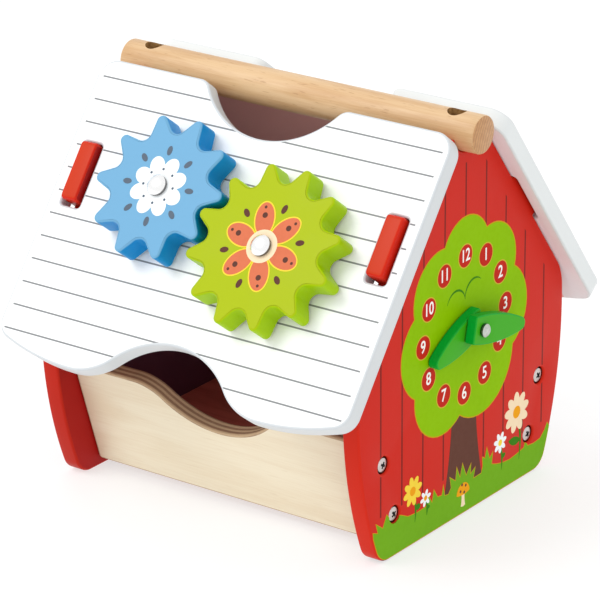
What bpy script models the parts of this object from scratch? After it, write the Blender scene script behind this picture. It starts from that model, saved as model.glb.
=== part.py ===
"""Wooden activity farm: a barn to carry about, with meshing gears on its roof and a clock on its gable.

Metres, +Z up. +X runs along the ridge towards the clock, and the gears look to the front, -Y.
The two gables carry everything: both leaning walls are screwed between them, the handle is screwed
down into their tops, and each roof panel hangs on a pair of their tenons and lifts off.
"""
import math

import bmesh
import bpy
from mathutils import Matrix, Vector

# Clearances and finishes that every piece shares
FIT_GAP = 0.0003
CUT_OVERRUN = 0.002
WELD_DISTANCE = 0.000001
BOARD_RIM = 0.0012
FINE_RIM = 0.0006

# House
RIDGE_HEIGHT = 0.2289
ROOF_PITCH = math.radians(52.75)

# Gables: one board each, whose outline carries the two roof tenons
GABLE_THICKNESS = 0.010
GABLE_HALF_WIDTH = 0.0935
GABLE_BELLY_HEIGHT = 0.088
GABLE_SIDE_RADIUS = 0.220
GABLE_FOOT_RADIUS = 0.012
GABLE_EAVE_RADIUS = 0.026
GABLE_HORN_RADIUS = 0.002
SADDLE_DEPTH = 0.0098
TENON_DOWN = 0.0717
TENON_LENGTH = 0.0325
TENON_STANDS_PROUD = 0.004
TENON_CORNER_RADIUS = 0.0022

# Roof panels, measured down the slope from the ridge line; their length and the spread of their feet
# before the rims are rounded are the whole toy's
ROOF_THICKNESS = 0.010
ROOF_LENGTH = 0.2216
ROOF_SPREAD = 0.2452
ROOF_OVERHANG = 0.0093
ROOF_TOP_DOWN = 0.0248
ROOF_TOP_CORNER_RADIUS = 0.011
ROOF_FOOT_CORNER_RADIUS = 0.010
ROOF_SKIRT_RADIUS = 0.140
FINGER_CUT_RADIUS = 0.050
FINGER_CUT_SHOULDER = 0.008
FINGER_CUT_DEPTH = 0.0242
ARCH_RADIUS = 0.048
ARCH_SHOULDER = 0.033
ARCH_DEPTH = 0.0256
SLOT_SIDE_CLEARANCE = 0.0012
SLOT_TOP_CLEARANCE = 0.0006
SLOT_FOOT_CLEARANCE = 0.0028
SLOT_CORNER_RADIUS = 0.002

# Leaning walls, measured up the wall from the ground
WALL_THICKNESS = 0.009
WALL_LEAN = math.radians(17.6)
WALL_FOOT_Y = 0.0545
WALL_BOTTOM_UP = 0.0062
WALL_TOP_UP = 0.0704
WALL_DIP_RADIUS = 0.050
WALL_DIP_SHOULDER = 0.027
WALL_DIP_DEPTH = 0.0198
WALL_CORNER_RADIUS = 0.002

# Floor board, wedged between the leaning walls
FLOOR_THICKNESS = 0.008
FLOOR_HEIGHT = 0.008

# Carrying handle, a plain dowel laid in the gables' saddles
HANDLE_RADIUS = 0.010
HANDLE_OVERHANG = 0.0102
HANDLE_CHAMFER = 0.0008
HANDLE_BELOW_ROOF_SEAT = 0.0019
HANDLE_BORE_RADIUS = 0.005
HANDLE_BORE_DEPTH = 0.009
HANDLE_SCREW_INSET = 0.0058

# Screws
SCREW_HEAD_RADIUS = 0.0041
SCREW_HEAD_HEIGHT = 0.0024
SCREW_CROWN = 0.0008
SCREW_SHANK_RADIUS = 0.002
SCREW_POINT_LENGTH = 0.003
WALL_SCREW_LENGTH = 0.032
WALL_SCREW_UPS = (0.0243, 0.0561)
WALL_SCREW_BORE_RADIUS = 0.0049
WALL_SCREW_BORE_DEPTH = 0.0031
HANDLE_SCREW_LENGTH = 0.036

# Gear pair on the front roof panel
BLUE_TEETH = 10
GREEN_TEETH = 12
GEAR_CENTRES_SHARE = 0.41
GREEN_GEAR_X_SHARE = 0.409
GREEN_GEAR_DOWN = 0.1061
GEAR_LINE = math.radians(-13.2)
MESH_TURN = math.radians(0.1)
MESH_PLAY = math.radians(1.4)
BLUE_ADDENDUM = 0.005
GREEN_ADDENDUM = 0.0031
GEAR_TIP_CLEARANCE = 0.0022
GEAR_TIP_ROUND = 0.003
GEAR_ROOT_ROUND = 0.005
GEAR_THICKNESS = 0.0142
GEAR_RIM = 0.001

# Pins with a low domed head: a spacer under each gear, a washer and a nut behind the board
GEAR_PIN_HEAD_RADIUS = 0.0052
CLOCK_PIN_HEAD_RADIUS = 0.0047
PIN_HEAD_RIM = 0.0018
PIN_HEAD_HEIGHT = 0.004
PIN_SHOULDER_RADIUS = 0.004
PIN_SHANK_RADIUS = 0.0025
PIN_TAIL = 0.0012
SPACER_RADIUS = 0.009
SPACER_THICKNESS = 0.0014
WASHER_RADIUS = 0.007
WASHER_THICKNESS = 0.0012
NUT_RADIUS = 0.0052
NUT_THICKNESS = 0.0045

# Clock on the right gable: two leaf-shaped hands on one pin
CLOCK_HEIGHT = 0.1055
HAND_THICKNESS = 0.0055
HAND_HALF_WIDTH = 0.008
HAND_BELLY = 0.005
HAND_TAIL = 0.008
HAND_TAIL_CORNER = 0.0015
HAND_TIP_RADIUS = 0.0035
HAND_RIM = 0.0007
HOUR_HAND_LENGTH = 0.0348
MINUTE_HAND_LENGTH = 0.0400
HOUR_HAND_TURN = math.radians(197.9)
MINUTE_HAND_TURN = math.radians(-13.0)

# How finely round stretches are divided
RIM_STEPS = 2
CORNER_STEPS = 2
SHORT_ARC_STEPS = 4
LONG_ARC_STEPS = 8
TIP_STEPS = 4
ROOT_STEPS = 2
DOME_STEPS = 3
HOLE_SIDES = 12
TURNED_SIDES = 16
HANDLE_SIDES = 28
SCREW_SIDES = 10
NUT_SIDES = 6
SHARP_ANGLE = math.radians(40)

# Colours as seen, red, green and blue of 255, with roughness and metallic value
COLOUR_STEPS = 255
DISPLAY_GAMMA = 2.2
RED_PAINT = ((202, 51, 38), 0.42, 0.0)
WHITE_PAINT = ((246, 248, 247), 0.38, 0.0)
BLUE_PAINT = ((140, 195, 230), 0.4, 0.0)
GREEN_PAINT = ((186, 205, 41), 0.4, 0.0)
LEAF_PAINT = ((64, 160, 50), 0.4, 0.0)
PALE_PLY = ((238, 222, 190), 0.6, 0.0)
BEECH = ((232, 194, 148), 0.55, 0.0)
STEEL = ((205, 205, 205), 0.25, 1.0)
NYLON = ((235, 235, 230), 0.45, 0.0)

# Sizes that follow
QUARTER = math.pi / 2
SIN_PITCH = math.sin(ROOF_PITCH)
COS_PITCH = math.cos(ROOF_PITCH)
HOUSE_LENGTH = ROOF_LENGTH - 2 * ROOF_OVERHANG
HANDLE_LENGTH = HOUSE_LENGTH + 2 * HANDLE_OVERHANG
INNER_HALF = HOUSE_LENGTH / 2 - GABLE_THICKNESS
GABLE_MIDDLE_X = HOUSE_LENGTH / 2 - GABLE_THICKNESS / 2
GEAR_CENTRES = 2 * INNER_HALF * GEAR_CENTRES_SHARE
GREEN_GEAR_X = INNER_HALF * GREEN_GEAR_X_SHARE
HANDLE_HEIGHT = RIDGE_HEIGHT - (HANDLE_RADIUS + HANDLE_BELOW_ROOF_SEAT) / COS_PITCH
HANDLE_SCREW_SEAT = HANDLE_HEIGHT + HANDLE_RADIUS - HANDLE_BORE_DEPTH + FIT_GAP
WALL_SCREW_SEAT = GABLE_THICKNESS - WALL_SCREW_BORE_DEPTH + FIT_GAP
SHANK_HOLE_RADIUS = SCREW_SHANK_RADIUS + FIT_GAP
PIN_HOLE_RADIUS = PIN_SHANK_RADIUS + FIT_GAP
HANDLE_SCREW_X = HOUSE_LENGTH / 2 - HANDLE_SCREW_INSET
ROOF_FACE = FIT_GAP + ROOF_THICKNESS
ROOF_FOOT_DOWN = (ROOF_SPREAD / 2 - ROOF_FACE * SIN_PITCH) / COS_PITCH
GEAR_BASE = 2 * FIT_GAP + SPACER_THICKNESS
GEAR_PIN_SEAT = GEAR_BASE + GEAR_THICKNESS + FIT_GAP
CLOCK_PIN_SEAT = 2 * (FIT_GAP + HAND_THICKNESS) + FIT_GAP
CLOCK_REACH = HOUSE_LENGTH / 2 + CLOCK_PIN_SEAT + PIN_HEAD_HEIGHT
HOUSE_X = (HANDLE_LENGTH / 2 - CLOCK_REACH) / 2


def arc(centre_x, centre_y, radius, start, end, steps):
    """Points of a round stretch, both ends included."""
    turns = [start + (end - start) * i / steps for i in range(steps + 1)]
    return [(centre_x + radius * math.cos(a), centre_y + radius * math.sin(a)) for a in turns]


def round_hole(centre_x, centre_y, radius):
    """A hole whose flats stand on the circle; it runs clockwise, because the board lies outside it."""
    reach = radius / math.cos(2 * QUARTER / HOLE_SIDES)
    return arc(centre_x, centre_y, reach, 4 * QUARTER, 0, HOLE_SIDES)[:-1]


def rounded_corner(before, corner, after, radius):
    """The fillet that replaces a sharp corner of an outline."""
    corner = Vector(corner)
    arm_in = (Vector(before) - corner).normalized()
    arm_out = (Vector(after) - corner).normalized()
    half = arm_in.angle(arm_out) / 2
    centre = corner + (arm_in + arm_out).normalized() * radius / math.sin(half)
    first = corner + arm_in * radius / math.tan(half) - centre
    last = corner + arm_out * radius / math.tan(half) - centre
    start = math.atan2(first.y, first.x)
    turn = (math.atan2(last.y, last.x) - start + 2 * QUARTER) % (4 * QUARTER) - 2 * QUARTER
    return arc(centre.x, centre.y, radius, start, start + turn, CORNER_STEPS)


def rounded_polygon(corners, radius):
    """A closed outline with every corner rounded alike."""
    points = []
    for i, corner in enumerate(corners):
        points += rounded_corner(corners[i - 1], corner, corners[(i + 1) % len(corners)], radius)
    return points


def mirrored(half):
    """Close a half outline whose two ends lie on the middle line."""
    return half + [(-x, y) for x, y in reversed(half[1:-1])]


def swale(radius, shoulder, depth):
    """Right half of a round dip that leaves its edge over a rounded shoulder.

    The deepest point is the origin, and the last point lies on the edge, depth above it.
    """
    swing = math.acos(1 - depth / (radius + shoulder))
    end_x = (radius + shoulder) * math.sin(swing)
    bowl = arc(0, radius, radius, -QUARTER, swing - QUARTER, LONG_ARC_STEPS)
    lip = arc(end_x, depth - shoulder, shoulder, QUARTER + swing, QUARTER, SHORT_ARC_STEPS)
    return bowl + lip[1:]


def inset(points, distance):
    """Move an outline into its board, which lies on the left as one goes along."""
    moved = []
    for i, point in enumerate(points):
        here = Vector(point)
        way_in = (here - Vector(points[i - 1])).normalized()
        way_out = (Vector(points[(i + 1) % len(points)]) - here).normalized()
        left = Vector((-way_in.y - way_out.y, way_in.x + way_out.x))
        moved.append(here + left * distance / (1 + way_in.dot(way_out)))
    return moved


def slab(outline, holes, thickness, rim):
    """A board of flat stock from z = 0 up, with the rims of its outline and holes rounded."""
    board = bmesh.new()
    quarter = [QUARTER * i / RIM_STEPS for i in range(RIM_STEPS + 1)]
    lower = [(rim * (1 - math.sin(a)), rim * (1 - math.cos(a))) for a in quarter]
    levels = lower + [(pull, thickness - rise) for pull, rise in reversed(lower)]
    bottom_edges, top_edges = [], []
    for loop in [outline] + holes:
        rings = [[board.verts.new((x, y, z)) for x, y in inset(loop, pull)] for pull, z in levels]
        for below, above in zip(rings, rings[1:]):
            for i in range(len(loop)):
                board.faces.new((below[i - 1], below[i], above[i], above[i - 1]))
        for i in range(len(loop)):
            bottom_edges.append(board.edges.get((rings[0][i - 1], rings[0][i])))
            top_edges.append(board.edges.get((rings[-1][i - 1], rings[-1][i])))
    bmesh.ops.triangle_fill(board, use_beauty=True, edges=bottom_edges)
    bmesh.ops.triangle_fill(board, use_beauty=True, edges=top_edges)
    bmesh.ops.recalc_face_normals(board, faces=board.faces)
    return board


def turned(profile, sides=TURNED_SIDES):
    """A lathe piece: profile points (radius, height) run down its outer side, about the Z axis."""
    piece = bmesh.new()
    points = [piece.verts.new((radius, 0, height)) for radius, height in profile]
    lines = [piece.edges.new(pair) for pair in zip(points, points[1:])]
    bmesh.ops.spin(piece, geom=points + lines, cent=(0, 0, 0), axis=(0, 0, 1), angle=4 * QUARTER,
                   steps=sides, use_merge=True)
    bmesh.ops.remove_doubles(piece, verts=piece.verts, dist=WELD_DISTANCE)
    bmesh.ops.recalc_face_normals(piece, faces=piece.faces)
    return piece


def dome(radius, rise, base):
    """Profile of a round cap, from its crown down to its rim at the base height."""
    ball = (radius ** 2 + rise ** 2) / (2 * rise)
    swing = math.asin(min(radius / ball, 1))
    turns = [swing * i / DOME_STEPS for i in range(DOME_STEPS + 1)]
    return [(ball * math.sin(a), base + rise - ball * (1 - math.cos(a))) for a in turns]


def rod(radius, low, high, sides=SCREW_SIDES):
    """A plain round bar along the Z axis."""
    return turned([(0, high), (radius, high), (radius, low), (0, low)], sides)


def ring(outer, inner, low, high):
    """A flat ring about the Z axis."""
    return turned([(outer, high), (outer, low), (inner, low), (inner, high), (outer, high)])


def moved(piece, location, turn=0, axis='Z'):
    """Turn a mesh about one axis of its frame, then shift it."""
    bmesh.ops.rotate(piece, verts=piece.verts, cent=(0, 0, 0), matrix=Matrix.Rotation(turn, 3, axis))
    bmesh.ops.translate(piece, verts=piece.verts, vec=location)
    return piece


def gathered(pieces):
    """Several closed solids in one mesh."""
    whole = bmesh.new()
    for piece in pieces:
        carrier = bpy.data.meshes.new("carrier")
        piece.to_mesh(carrier)
        piece.free()
        whole.from_mesh(carrier)
        bpy.data.meshes.remove(carrier)
    return whole


def frame(name, parent, location, turn=(0, 0, 0)):
    """An empty that carries the pieces of one sub-assembly."""
    empty = bpy.data.objects.new(name, None)
    bpy.context.collection.objects.link(empty)
    empty.parent = parent
    empty.location = location
    empty.rotation_euler = turn
    return empty


def add_object(name, piece, parent, location, turn):
    """Put a mesh into the scene under its carrier."""
    mesh = bpy.data.meshes.new(name)
    piece.to_mesh(mesh)
    piece.free()
    obj = bpy.data.objects.new(name, mesh)
    bpy.context.collection.objects.link(obj)
    obj.parent = parent
    obj.location = location
    obj.rotation_euler = turn
    return obj


def add_piece(name, piece, paint, parent, location=(0, 0, 0), turn=(0, 0, 0)):
    """A named sub-part with its own painted or bare finish."""
    obj = add_object(name, piece, parent, location, turn)
    obj.data.shade_smooth()
    obj.data.set_sharp_from_angle(angle=SHARP_ANGLE)
    colour, roughness, metallic = paint
    linear = [(c / COLOUR_STEPS) ** DISPLAY_GAMMA for c in colour]
    finish = bpy.data.materials.new(name + "_finish")
    finish.use_nodes = True
    shader = finish.node_tree.nodes["Principled BSDF"]
    shader.inputs["Base Color"].default_value = (*linear, 1)
    shader.inputs["Roughness"].default_value = roughness
    shader.inputs["Metallic"].default_value = metallic
    obj.data.materials.append(finish)
    return obj


def cut(obj, pieces):
    """Bore a sub-part with the given solids, which are in its own frame."""
    cutter = add_object(obj.name + "_cutter", gathered(pieces), obj.parent, obj.location, obj.rotation_euler)
    cutter.hide_render = True
    cutter.display_type = 'WIRE'
    bore = obj.modifiers.new("bores", 'BOOLEAN')
    bore.operation = 'DIFFERENCE'
    bore.solver = 'EXACT'
    bore.object = cutter


def gable_outline():
    """Right half from the ground up: foot, bellied side, eave, roof seat, tenon and handle saddle."""
    ridge = Vector((0, RIDGE_HEIGHT))
    slope = Vector((COS_PITCH, -SIN_PITCH))
    square = Vector((SIN_PITCH, COS_PITCH))
    side_x = GABLE_HALF_WIDTH - GABLE_SIDE_RADIUS
    foot_drop = GABLE_BELLY_HEIGHT - GABLE_FOOT_RADIUS
    foot_x = side_x + math.sqrt((GABLE_SIDE_RADIUS - GABLE_FOOT_RADIUS) ** 2 - foot_drop ** 2)
    foot_turn = math.atan2(-foot_drop, foot_x - side_x)
    eave_line = ridge - square * GABLE_EAVE_RADIUS
    start = eave_line - Vector((side_x, GABLE_BELLY_HEIGHT))
    reach = GABLE_SIDE_RADIUS - GABLE_EAVE_RADIUS
    along = math.sqrt(start.dot(slope) ** 2 - start.length_squared + reach ** 2) - start.dot(slope)
    eave = eave_line + slope * along
    eave_turn = math.atan2(eave.y - GABLE_BELLY_HEIGHT, eave.x - side_x)

    half = [(0, 0)]
    half += arc(foot_x, GABLE_FOOT_RADIUS, GABLE_FOOT_RADIUS, -QUARTER, foot_turn, SHORT_ARC_STEPS)
    side = arc(side_x, GABLE_BELLY_HEIGHT, GABLE_SIDE_RADIUS, foot_turn, eave_turn, LONG_ARC_STEPS)
    half += side[1:-1]
    half += arc(eave.x, eave.y, GABLE_EAVE_RADIUS, eave_turn, QUARTER - ROOF_PITCH, SHORT_ARC_STEPS)

    tenon_rise = square * (ROOF_FACE + TENON_STANDS_PROUD)
    low = ridge + slope * (TENON_DOWN + TENON_LENGTH)
    high = ridge + slope * TENON_DOWN
    half.append(tuple(low))
    half += rounded_corner(low, low + tenon_rise, high + tenon_rise, TENON_CORNER_RADIUS)
    half += rounded_corner(low + tenon_rise, high + tenon_rise, high, TENON_CORNER_RADIUS)
    half.append(tuple(high))

    top_height = HANDLE_HEIGHT - HANDLE_RADIUS + SADDLE_DEPTH
    horn = ((RIDGE_HEIGHT - top_height) * COS_PITCH / SIN_PITCH, top_height)
    saddle_radius = HANDLE_RADIUS + FIT_GAP
    saddle_turn = math.asin((top_height - HANDLE_HEIGHT) / saddle_radius)
    half += rounded_corner(high, horn, (0, top_height), GABLE_HORN_RADIUS)
    half += arc(0, HANDLE_HEIGHT, saddle_radius, saddle_turn, -QUARTER, LONG_ARC_STEPS)
    return mirrored(half)


def wall_screw_places():
    """Where a gable takes its four screws, across and up, on the middle planes of the leaning walls."""
    places = []
    for up in WALL_SCREW_UPS:
        across = WALL_FOOT_Y + up * math.sin(WALL_LEAN)
        height = up * math.cos(WALL_LEAN)
        places += [(-across, height), (across, height)]
    return places


def screw(length):
    """A pan-head wood screw whose head seats at z = 0 and whose point looks down."""
    crown = dome(SCREW_HEAD_RADIUS, SCREW_CROWN, SCREW_HEAD_HEIGHT - SCREW_CROWN)
    shank = [(SCREW_HEAD_RADIUS, 0), (SCREW_SHANK_RADIUS, 0),
             (SCREW_SHANK_RADIUS, SCREW_POINT_LENGTH - length), (0, -length)]
    return turned(crown + shank, SCREW_SIDES)


def add_gable(name, house, side, holes):
    """One gable with its counterbored wall screws; side is 1 at the clock end and -1 at the other."""
    place = {"parent": house, "location": (side * INNER_HALF, 0, 0), "turn": (QUARTER, 0, side * QUARTER)}
    gable = add_piece(name + "_gable", slab(gable_outline(), holes, GABLE_THICKNESS, BOARD_RIM),
                      RED_PAINT, **place)
    face = GABLE_THICKNESS + CUT_OVERRUN
    bore_floor = GABLE_THICKNESS - WALL_SCREW_BORE_DEPTH
    stepped = [(0, face), (WALL_SCREW_BORE_RADIUS, face), (WALL_SCREW_BORE_RADIUS, bore_floor),
               (SHANK_HOLE_RADIUS, bore_floor), (SHANK_HOLE_RADIUS, -CUT_OVERRUN), (0, -CUT_OVERRUN)]
    bores = [moved(turned(stepped, 2 * SCREW_SIDES), (across, up, 0))
             for across, up in wall_screw_places()]
    pilot_end = HANDLE_SCREW_SEAT - HANDLE_SCREW_LENGTH - FIT_GAP
    pilot = rod(SHANK_HOLE_RADIUS, pilot_end, HANDLE_HEIGHT)
    bores.append(moved(pilot, (0, 0, GABLE_THICKNESS - HANDLE_SCREW_INSET), -QUARTER, 'X'))
    cut(gable, bores)
    for i, (across, up) in enumerate(wall_screw_places()):
        set_screw = moved(screw(WALL_SCREW_LENGTH), (across, up, WALL_SCREW_SEAT))
        add_piece(f"{name}_wall_screw_{i + 1}", set_screw, STEEL, **place)


def wall_outline():
    """Right half of a leaning wall: bottom edge, end, top edge and round dip."""
    end = INNER_HALF - FIT_GAP
    half = [(0, WALL_BOTTOM_UP)]
    half += rounded_corner((0, WALL_BOTTOM_UP), (end, WALL_BOTTOM_UP), (end, WALL_TOP_UP),
                           WALL_CORNER_RADIUS)
    half += rounded_corner((end, WALL_BOTTOM_UP), (end, WALL_TOP_UP), (0, WALL_TOP_UP),
                           WALL_CORNER_RADIUS)
    dip = swale(WALL_DIP_RADIUS, WALL_DIP_SHOULDER, WALL_DIP_DEPTH)
    half += [(x, WALL_TOP_UP - WALL_DIP_DEPTH + y) for x, y in reversed(dip)]
    return mirrored(half)


def add_wall(name, house, side):
    """One leaning wall; side is -1 at the front and 1 at the back."""
    board = moved(slab(wall_outline(), [], WALL_THICKNESS, BOARD_RIM), (0, 0, -WALL_THICKNESS / 2))
    facing = 0 if side < 0 else 2 * QUARTER
    wall = add_piece(name + "_wall", board, PALE_PLY, house, (0, side * WALL_FOOT_Y, 0),
                     (QUARTER + WALL_LEAN, 0, facing))
    pilot_end = INNER_HALF + WALL_SCREW_SEAT - WALL_SCREW_LENGTH - FIT_GAP
    bores = []
    for up in WALL_SCREW_UPS:
        for end in (-1, 1):
            pilot = rod(SHANK_HOLE_RADIUS, pilot_end, INNER_HALF + CUT_OVERRUN)
            bores.append(moved(pilot, (0, up, 0), end * QUARTER, 'Y'))
    cut(wall, bores)


def add_floor(house):
    """The floor board, bevelled front and back to lie against the leaning walls."""
    corners = []
    for height in (FLOOR_HEIGHT, FLOOR_HEIGHT + FLOOR_THICKNESS):
        reach = WALL_FOOT_Y + height * math.tan(WALL_LEAN)
        corners.append((reach - (WALL_THICKNESS / 2 + FIT_GAP) / math.cos(WALL_LEAN), height))
    (low_y, low), (high_y, high) = corners
    section = [(-low_y, low), (low_y, low), (high_y, high), (-high_y, high)]
    length = 2 * (INNER_HALF - FIT_GAP)
    add_piece("floor_board", slab(section, [], length, FINE_RIM), PALE_PLY, house,
              (-length / 2, 0, 0), (QUARTER, 0, QUARTER))


def add_handle(house):
    """The dowel, counterbored over both gables, and its two long screws."""
    half = HANDLE_LENGTH / 2
    rim = HANDLE_RADIUS - HANDLE_CHAMFER
    profile = [(0, half), (rim, half), (HANDLE_RADIUS, half - HANDLE_CHAMFER),
               (HANDLE_RADIUS, HANDLE_CHAMFER - half), (rim, -half), (0, -half)]
    dowel = moved(turned(profile, HANDLE_SIDES), (0, 0, 0), QUARTER, 'Y')
    handle = add_piece("carry_handle", dowel, BEECH, house, (0, 0, HANDLE_HEIGHT))
    top = HANDLE_RADIUS + CUT_OVERRUN
    bore_floor = HANDLE_RADIUS - HANDLE_BORE_DEPTH
    stepped = [(0, top), (HANDLE_BORE_RADIUS, top), (HANDLE_BORE_RADIUS, bore_floor),
               (SHANK_HOLE_RADIUS, bore_floor), (SHANK_HOLE_RADIUS, -top), (0, -top)]
    cut(handle, [moved(turned(stepped, 2 * SCREW_SIDES), (end * HANDLE_SCREW_X, 0, 0)) for end in (-1, 1)])
    for end, name in ((-1, "left"), (1, "right")):
        add_piece(name + "_handle_screw", screw(HANDLE_SCREW_LENGTH), STEEL, house,
                  (end * HANDLE_SCREW_X, 0, HANDLE_SCREW_SEAT))


def roof_outline():
    """Right half of a roof panel: door arch, skirt, end, top edge and finger cut-out."""
    end = ROOF_LENGTH / 2
    arch = [(x, ARCH_DEPTH - ROOF_FOOT_DOWN - y) for x, y in swale(ARCH_RADIUS, ARCH_SHOULDER, ARCH_DEPTH)]
    lobe_x = arch[-1][0]
    skirt_y = ROOF_SKIRT_RADIUS - ROOF_FOOT_DOWN
    foot_x = end - ROOF_FOOT_CORNER_RADIUS
    foot_reach = ROOF_SKIRT_RADIUS - ROOF_FOOT_CORNER_RADIUS
    foot_y = skirt_y - math.sqrt(foot_reach ** 2 - (foot_x - lobe_x) ** 2)
    foot_turn = math.atan2(foot_y - skirt_y, foot_x - lobe_x)
    skirt = arc(lobe_x, skirt_y, ROOF_SKIRT_RADIUS, -QUARTER, foot_turn, SHORT_ARC_STEPS)
    foot = arc(foot_x, foot_y, ROOF_FOOT_CORNER_RADIUS, foot_turn, 0, SHORT_ARC_STEPS)
    top_corner = arc(end - ROOF_TOP_CORNER_RADIUS, -ROOF_TOP_DOWN - ROOF_TOP_CORNER_RADIUS,
                     ROOF_TOP_CORNER_RADIUS, 0, QUARTER, SHORT_ARC_STEPS)
    fingers = swale(FINGER_CUT_RADIUS, FINGER_CUT_SHOULDER, FINGER_CUT_DEPTH)
    top_edge = [(x, y - FINGER_CUT_DEPTH - ROOF_TOP_DOWN) for x, y in reversed(fingers)]
    return mirrored(arch + skirt[1:-1] + foot + top_corner + top_edge)


def tenon_slot(side):
    """A slot that drops over a gable's tenon, with play below it, so that the panel hangs by its top."""
    half = GABLE_THICKNESS / 2 + SLOT_SIDE_CLEARANCE
    left = side * GABLE_MIDDLE_X - half
    right = side * GABLE_MIDDLE_X + half
    top = SLOT_TOP_CLEARANCE - TENON_DOWN
    foot = -TENON_DOWN - TENON_LENGTH - SLOT_FOOT_CLEARANCE
    return rounded_polygon([(left, foot), (left, top), (right, top), (right, foot)], SLOT_CORNER_RADIUS)


def add_roof_panel(name, roof, holes):
    """One roof panel in its roof frame, whose Y axis climbs to the ridge."""
    loops = [tenon_slot(-1), tenon_slot(1)] + holes
    add_piece(name + "_roof_panel", slab(roof_outline(), loops, ROOF_THICKNESS, BOARD_RIM),
              WHITE_PAINT, roof, (0, 0, FIT_GAP))


def gear_outline(teeth, tip_radius, root_radius):
    """Straight flanks that touch a round tip on the tooth's middle and a round root between teeth."""
    half_pitch = 2 * QUARTER / teeth
    tip_x = tip_radius - GEAR_TIP_ROUND
    root_reach = root_radius + GEAR_ROOT_ROUND
    root = Vector((root_reach * math.cos(half_pitch), root_reach * math.sin(half_pitch)))
    span = root - Vector((tip_x, 0))
    lean = math.atan2(span.y, span.x) - math.acos((GEAR_TIP_ROUND + GEAR_ROOT_ROUND) / span.length)
    tooth = arc(tip_x, 0, GEAR_TIP_ROUND, -lean, lean, TIP_STEPS)
    tooth += arc(root.x, root.y, GEAR_ROOT_ROUND, lean + 2 * QUARTER,
                 2 * half_pitch + 2 * QUARTER - lean, ROOT_STEPS)
    outline = []
    for i in range(teeth):
        turn = Matrix.Rotation(2 * half_pitch * i, 2)
        outline += [tuple(turn @ Vector(point)) for point in tooth]
    return outline


def through_pin(seat, head_radius, shoulder, board):
    """Domed pin through a board whose face is z = 0; its head seats at the given height."""
    tail = -board - 2 * FIT_GAP - WASHER_THICKNESS - NUT_THICKNESS - PIN_TAIL
    head = dome(head_radius, PIN_HEAD_HEIGHT - PIN_HEAD_RIM, seat + PIN_HEAD_RIM)
    shank = [(head_radius, seat), (shoulder, seat), (shoulder, FIT_GAP),
             (PIN_SHANK_RADIUS, FIT_GAP), (PIN_SHANK_RADIUS, tail), (0, tail)]
    return turned(head + shank)


def add_pin_fixings(name, place, board):
    """Washer and lock nut behind the board that a pin goes through; place is on the board's face."""
    washer_top = -board - FIT_GAP
    washer = ring(WASHER_RADIUS, PIN_HOLE_RADIUS, washer_top - WASHER_THICKNESS, washer_top)
    add_piece(name + "_pin_washer", washer, STEEL, **place)
    hexagon = arc(0, 0, NUT_RADIUS, 0, 4 * QUARTER, NUT_SIDES)[:-1]
    nut = slab(hexagon, [round_hole(0, 0, PIN_HOLE_RADIUS)], NUT_THICKNESS, FINE_RIM)
    nut = moved(nut, (0, 0, washer_top - WASHER_THICKNESS - FIT_GAP - NUT_THICKNESS))
    add_piece(name + "_lock_nut", nut, STEEL, **place)


def add_gear(name, roof, centre, turn, paint, teeth, tip_radius, root_radius):
    """One gear on its spacer and shoulder pin; centre is (along the ridge, up the slope)."""
    place = {"parent": roof, "location": (*centre, ROOF_FACE)}
    bore = round_hole(0, 0, PIN_SHOULDER_RADIUS + FIT_GAP)
    wheel = slab(gear_outline(teeth, tip_radius, root_radius), [bore], GEAR_THICKNESS, GEAR_RIM)
    add_piece(name + "_gear", moved(wheel, (0, 0, GEAR_BASE)), paint, turn=(0, 0, turn), **place)
    spacer = ring(SPACER_RADIUS, PIN_SHOULDER_RADIUS + FIT_GAP, FIT_GAP, FIT_GAP + SPACER_THICKNESS)
    add_piece(name + "_gear_spacer", spacer, NYLON, **place)
    pin = through_pin(GEAR_PIN_SEAT, GEAR_PIN_HEAD_RADIUS, PIN_SHOULDER_RADIUS, ROOF_THICKNESS)
    add_piece(name + "_gear_pin", pin, STEEL, **place)
    add_pin_fixings(name + "_gear", place, ROOF_THICKNESS)


def add_gear_pair(roof):
    """The meshing pair: a green tooth stands in a blue gap, with the play of loosely cut teeth."""
    pitch_share = GEAR_CENTRES / (BLUE_TEETH + GREEN_TEETH)
    blue_tip = pitch_share * BLUE_TEETH + BLUE_ADDENDUM
    green_tip = pitch_share * GREEN_TEETH + GREEN_ADDENDUM
    blue_root = GEAR_CENTRES - green_tip - GEAR_TIP_CLEARANCE
    green_root = GEAR_CENTRES - blue_tip - GEAR_TIP_CLEARANCE
    green, blue = gear_centres()
    add_gear("green", roof, green, GEAR_LINE + MESH_TURN + 2 * QUARTER, GREEN_PAINT,
             GREEN_TEETH, green_tip, green_root)
    blue_turn = GEAR_LINE - MESH_TURN * GREEN_TEETH / BLUE_TEETH - MESH_PLAY + 2 * QUARTER / BLUE_TEETH
    add_gear("blue", roof, blue, blue_turn, BLUE_PAINT, BLUE_TEETH, blue_tip, blue_root)


def gear_centres():
    """Centres of the green and the blue gear in the roof frame."""
    green = (GREEN_GEAR_X, -GREEN_GEAR_DOWN)
    blue = (green[0] - GEAR_CENTRES * math.cos(GEAR_LINE), green[1] - GEAR_CENTRES * math.sin(GEAR_LINE))
    return green, blue


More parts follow.
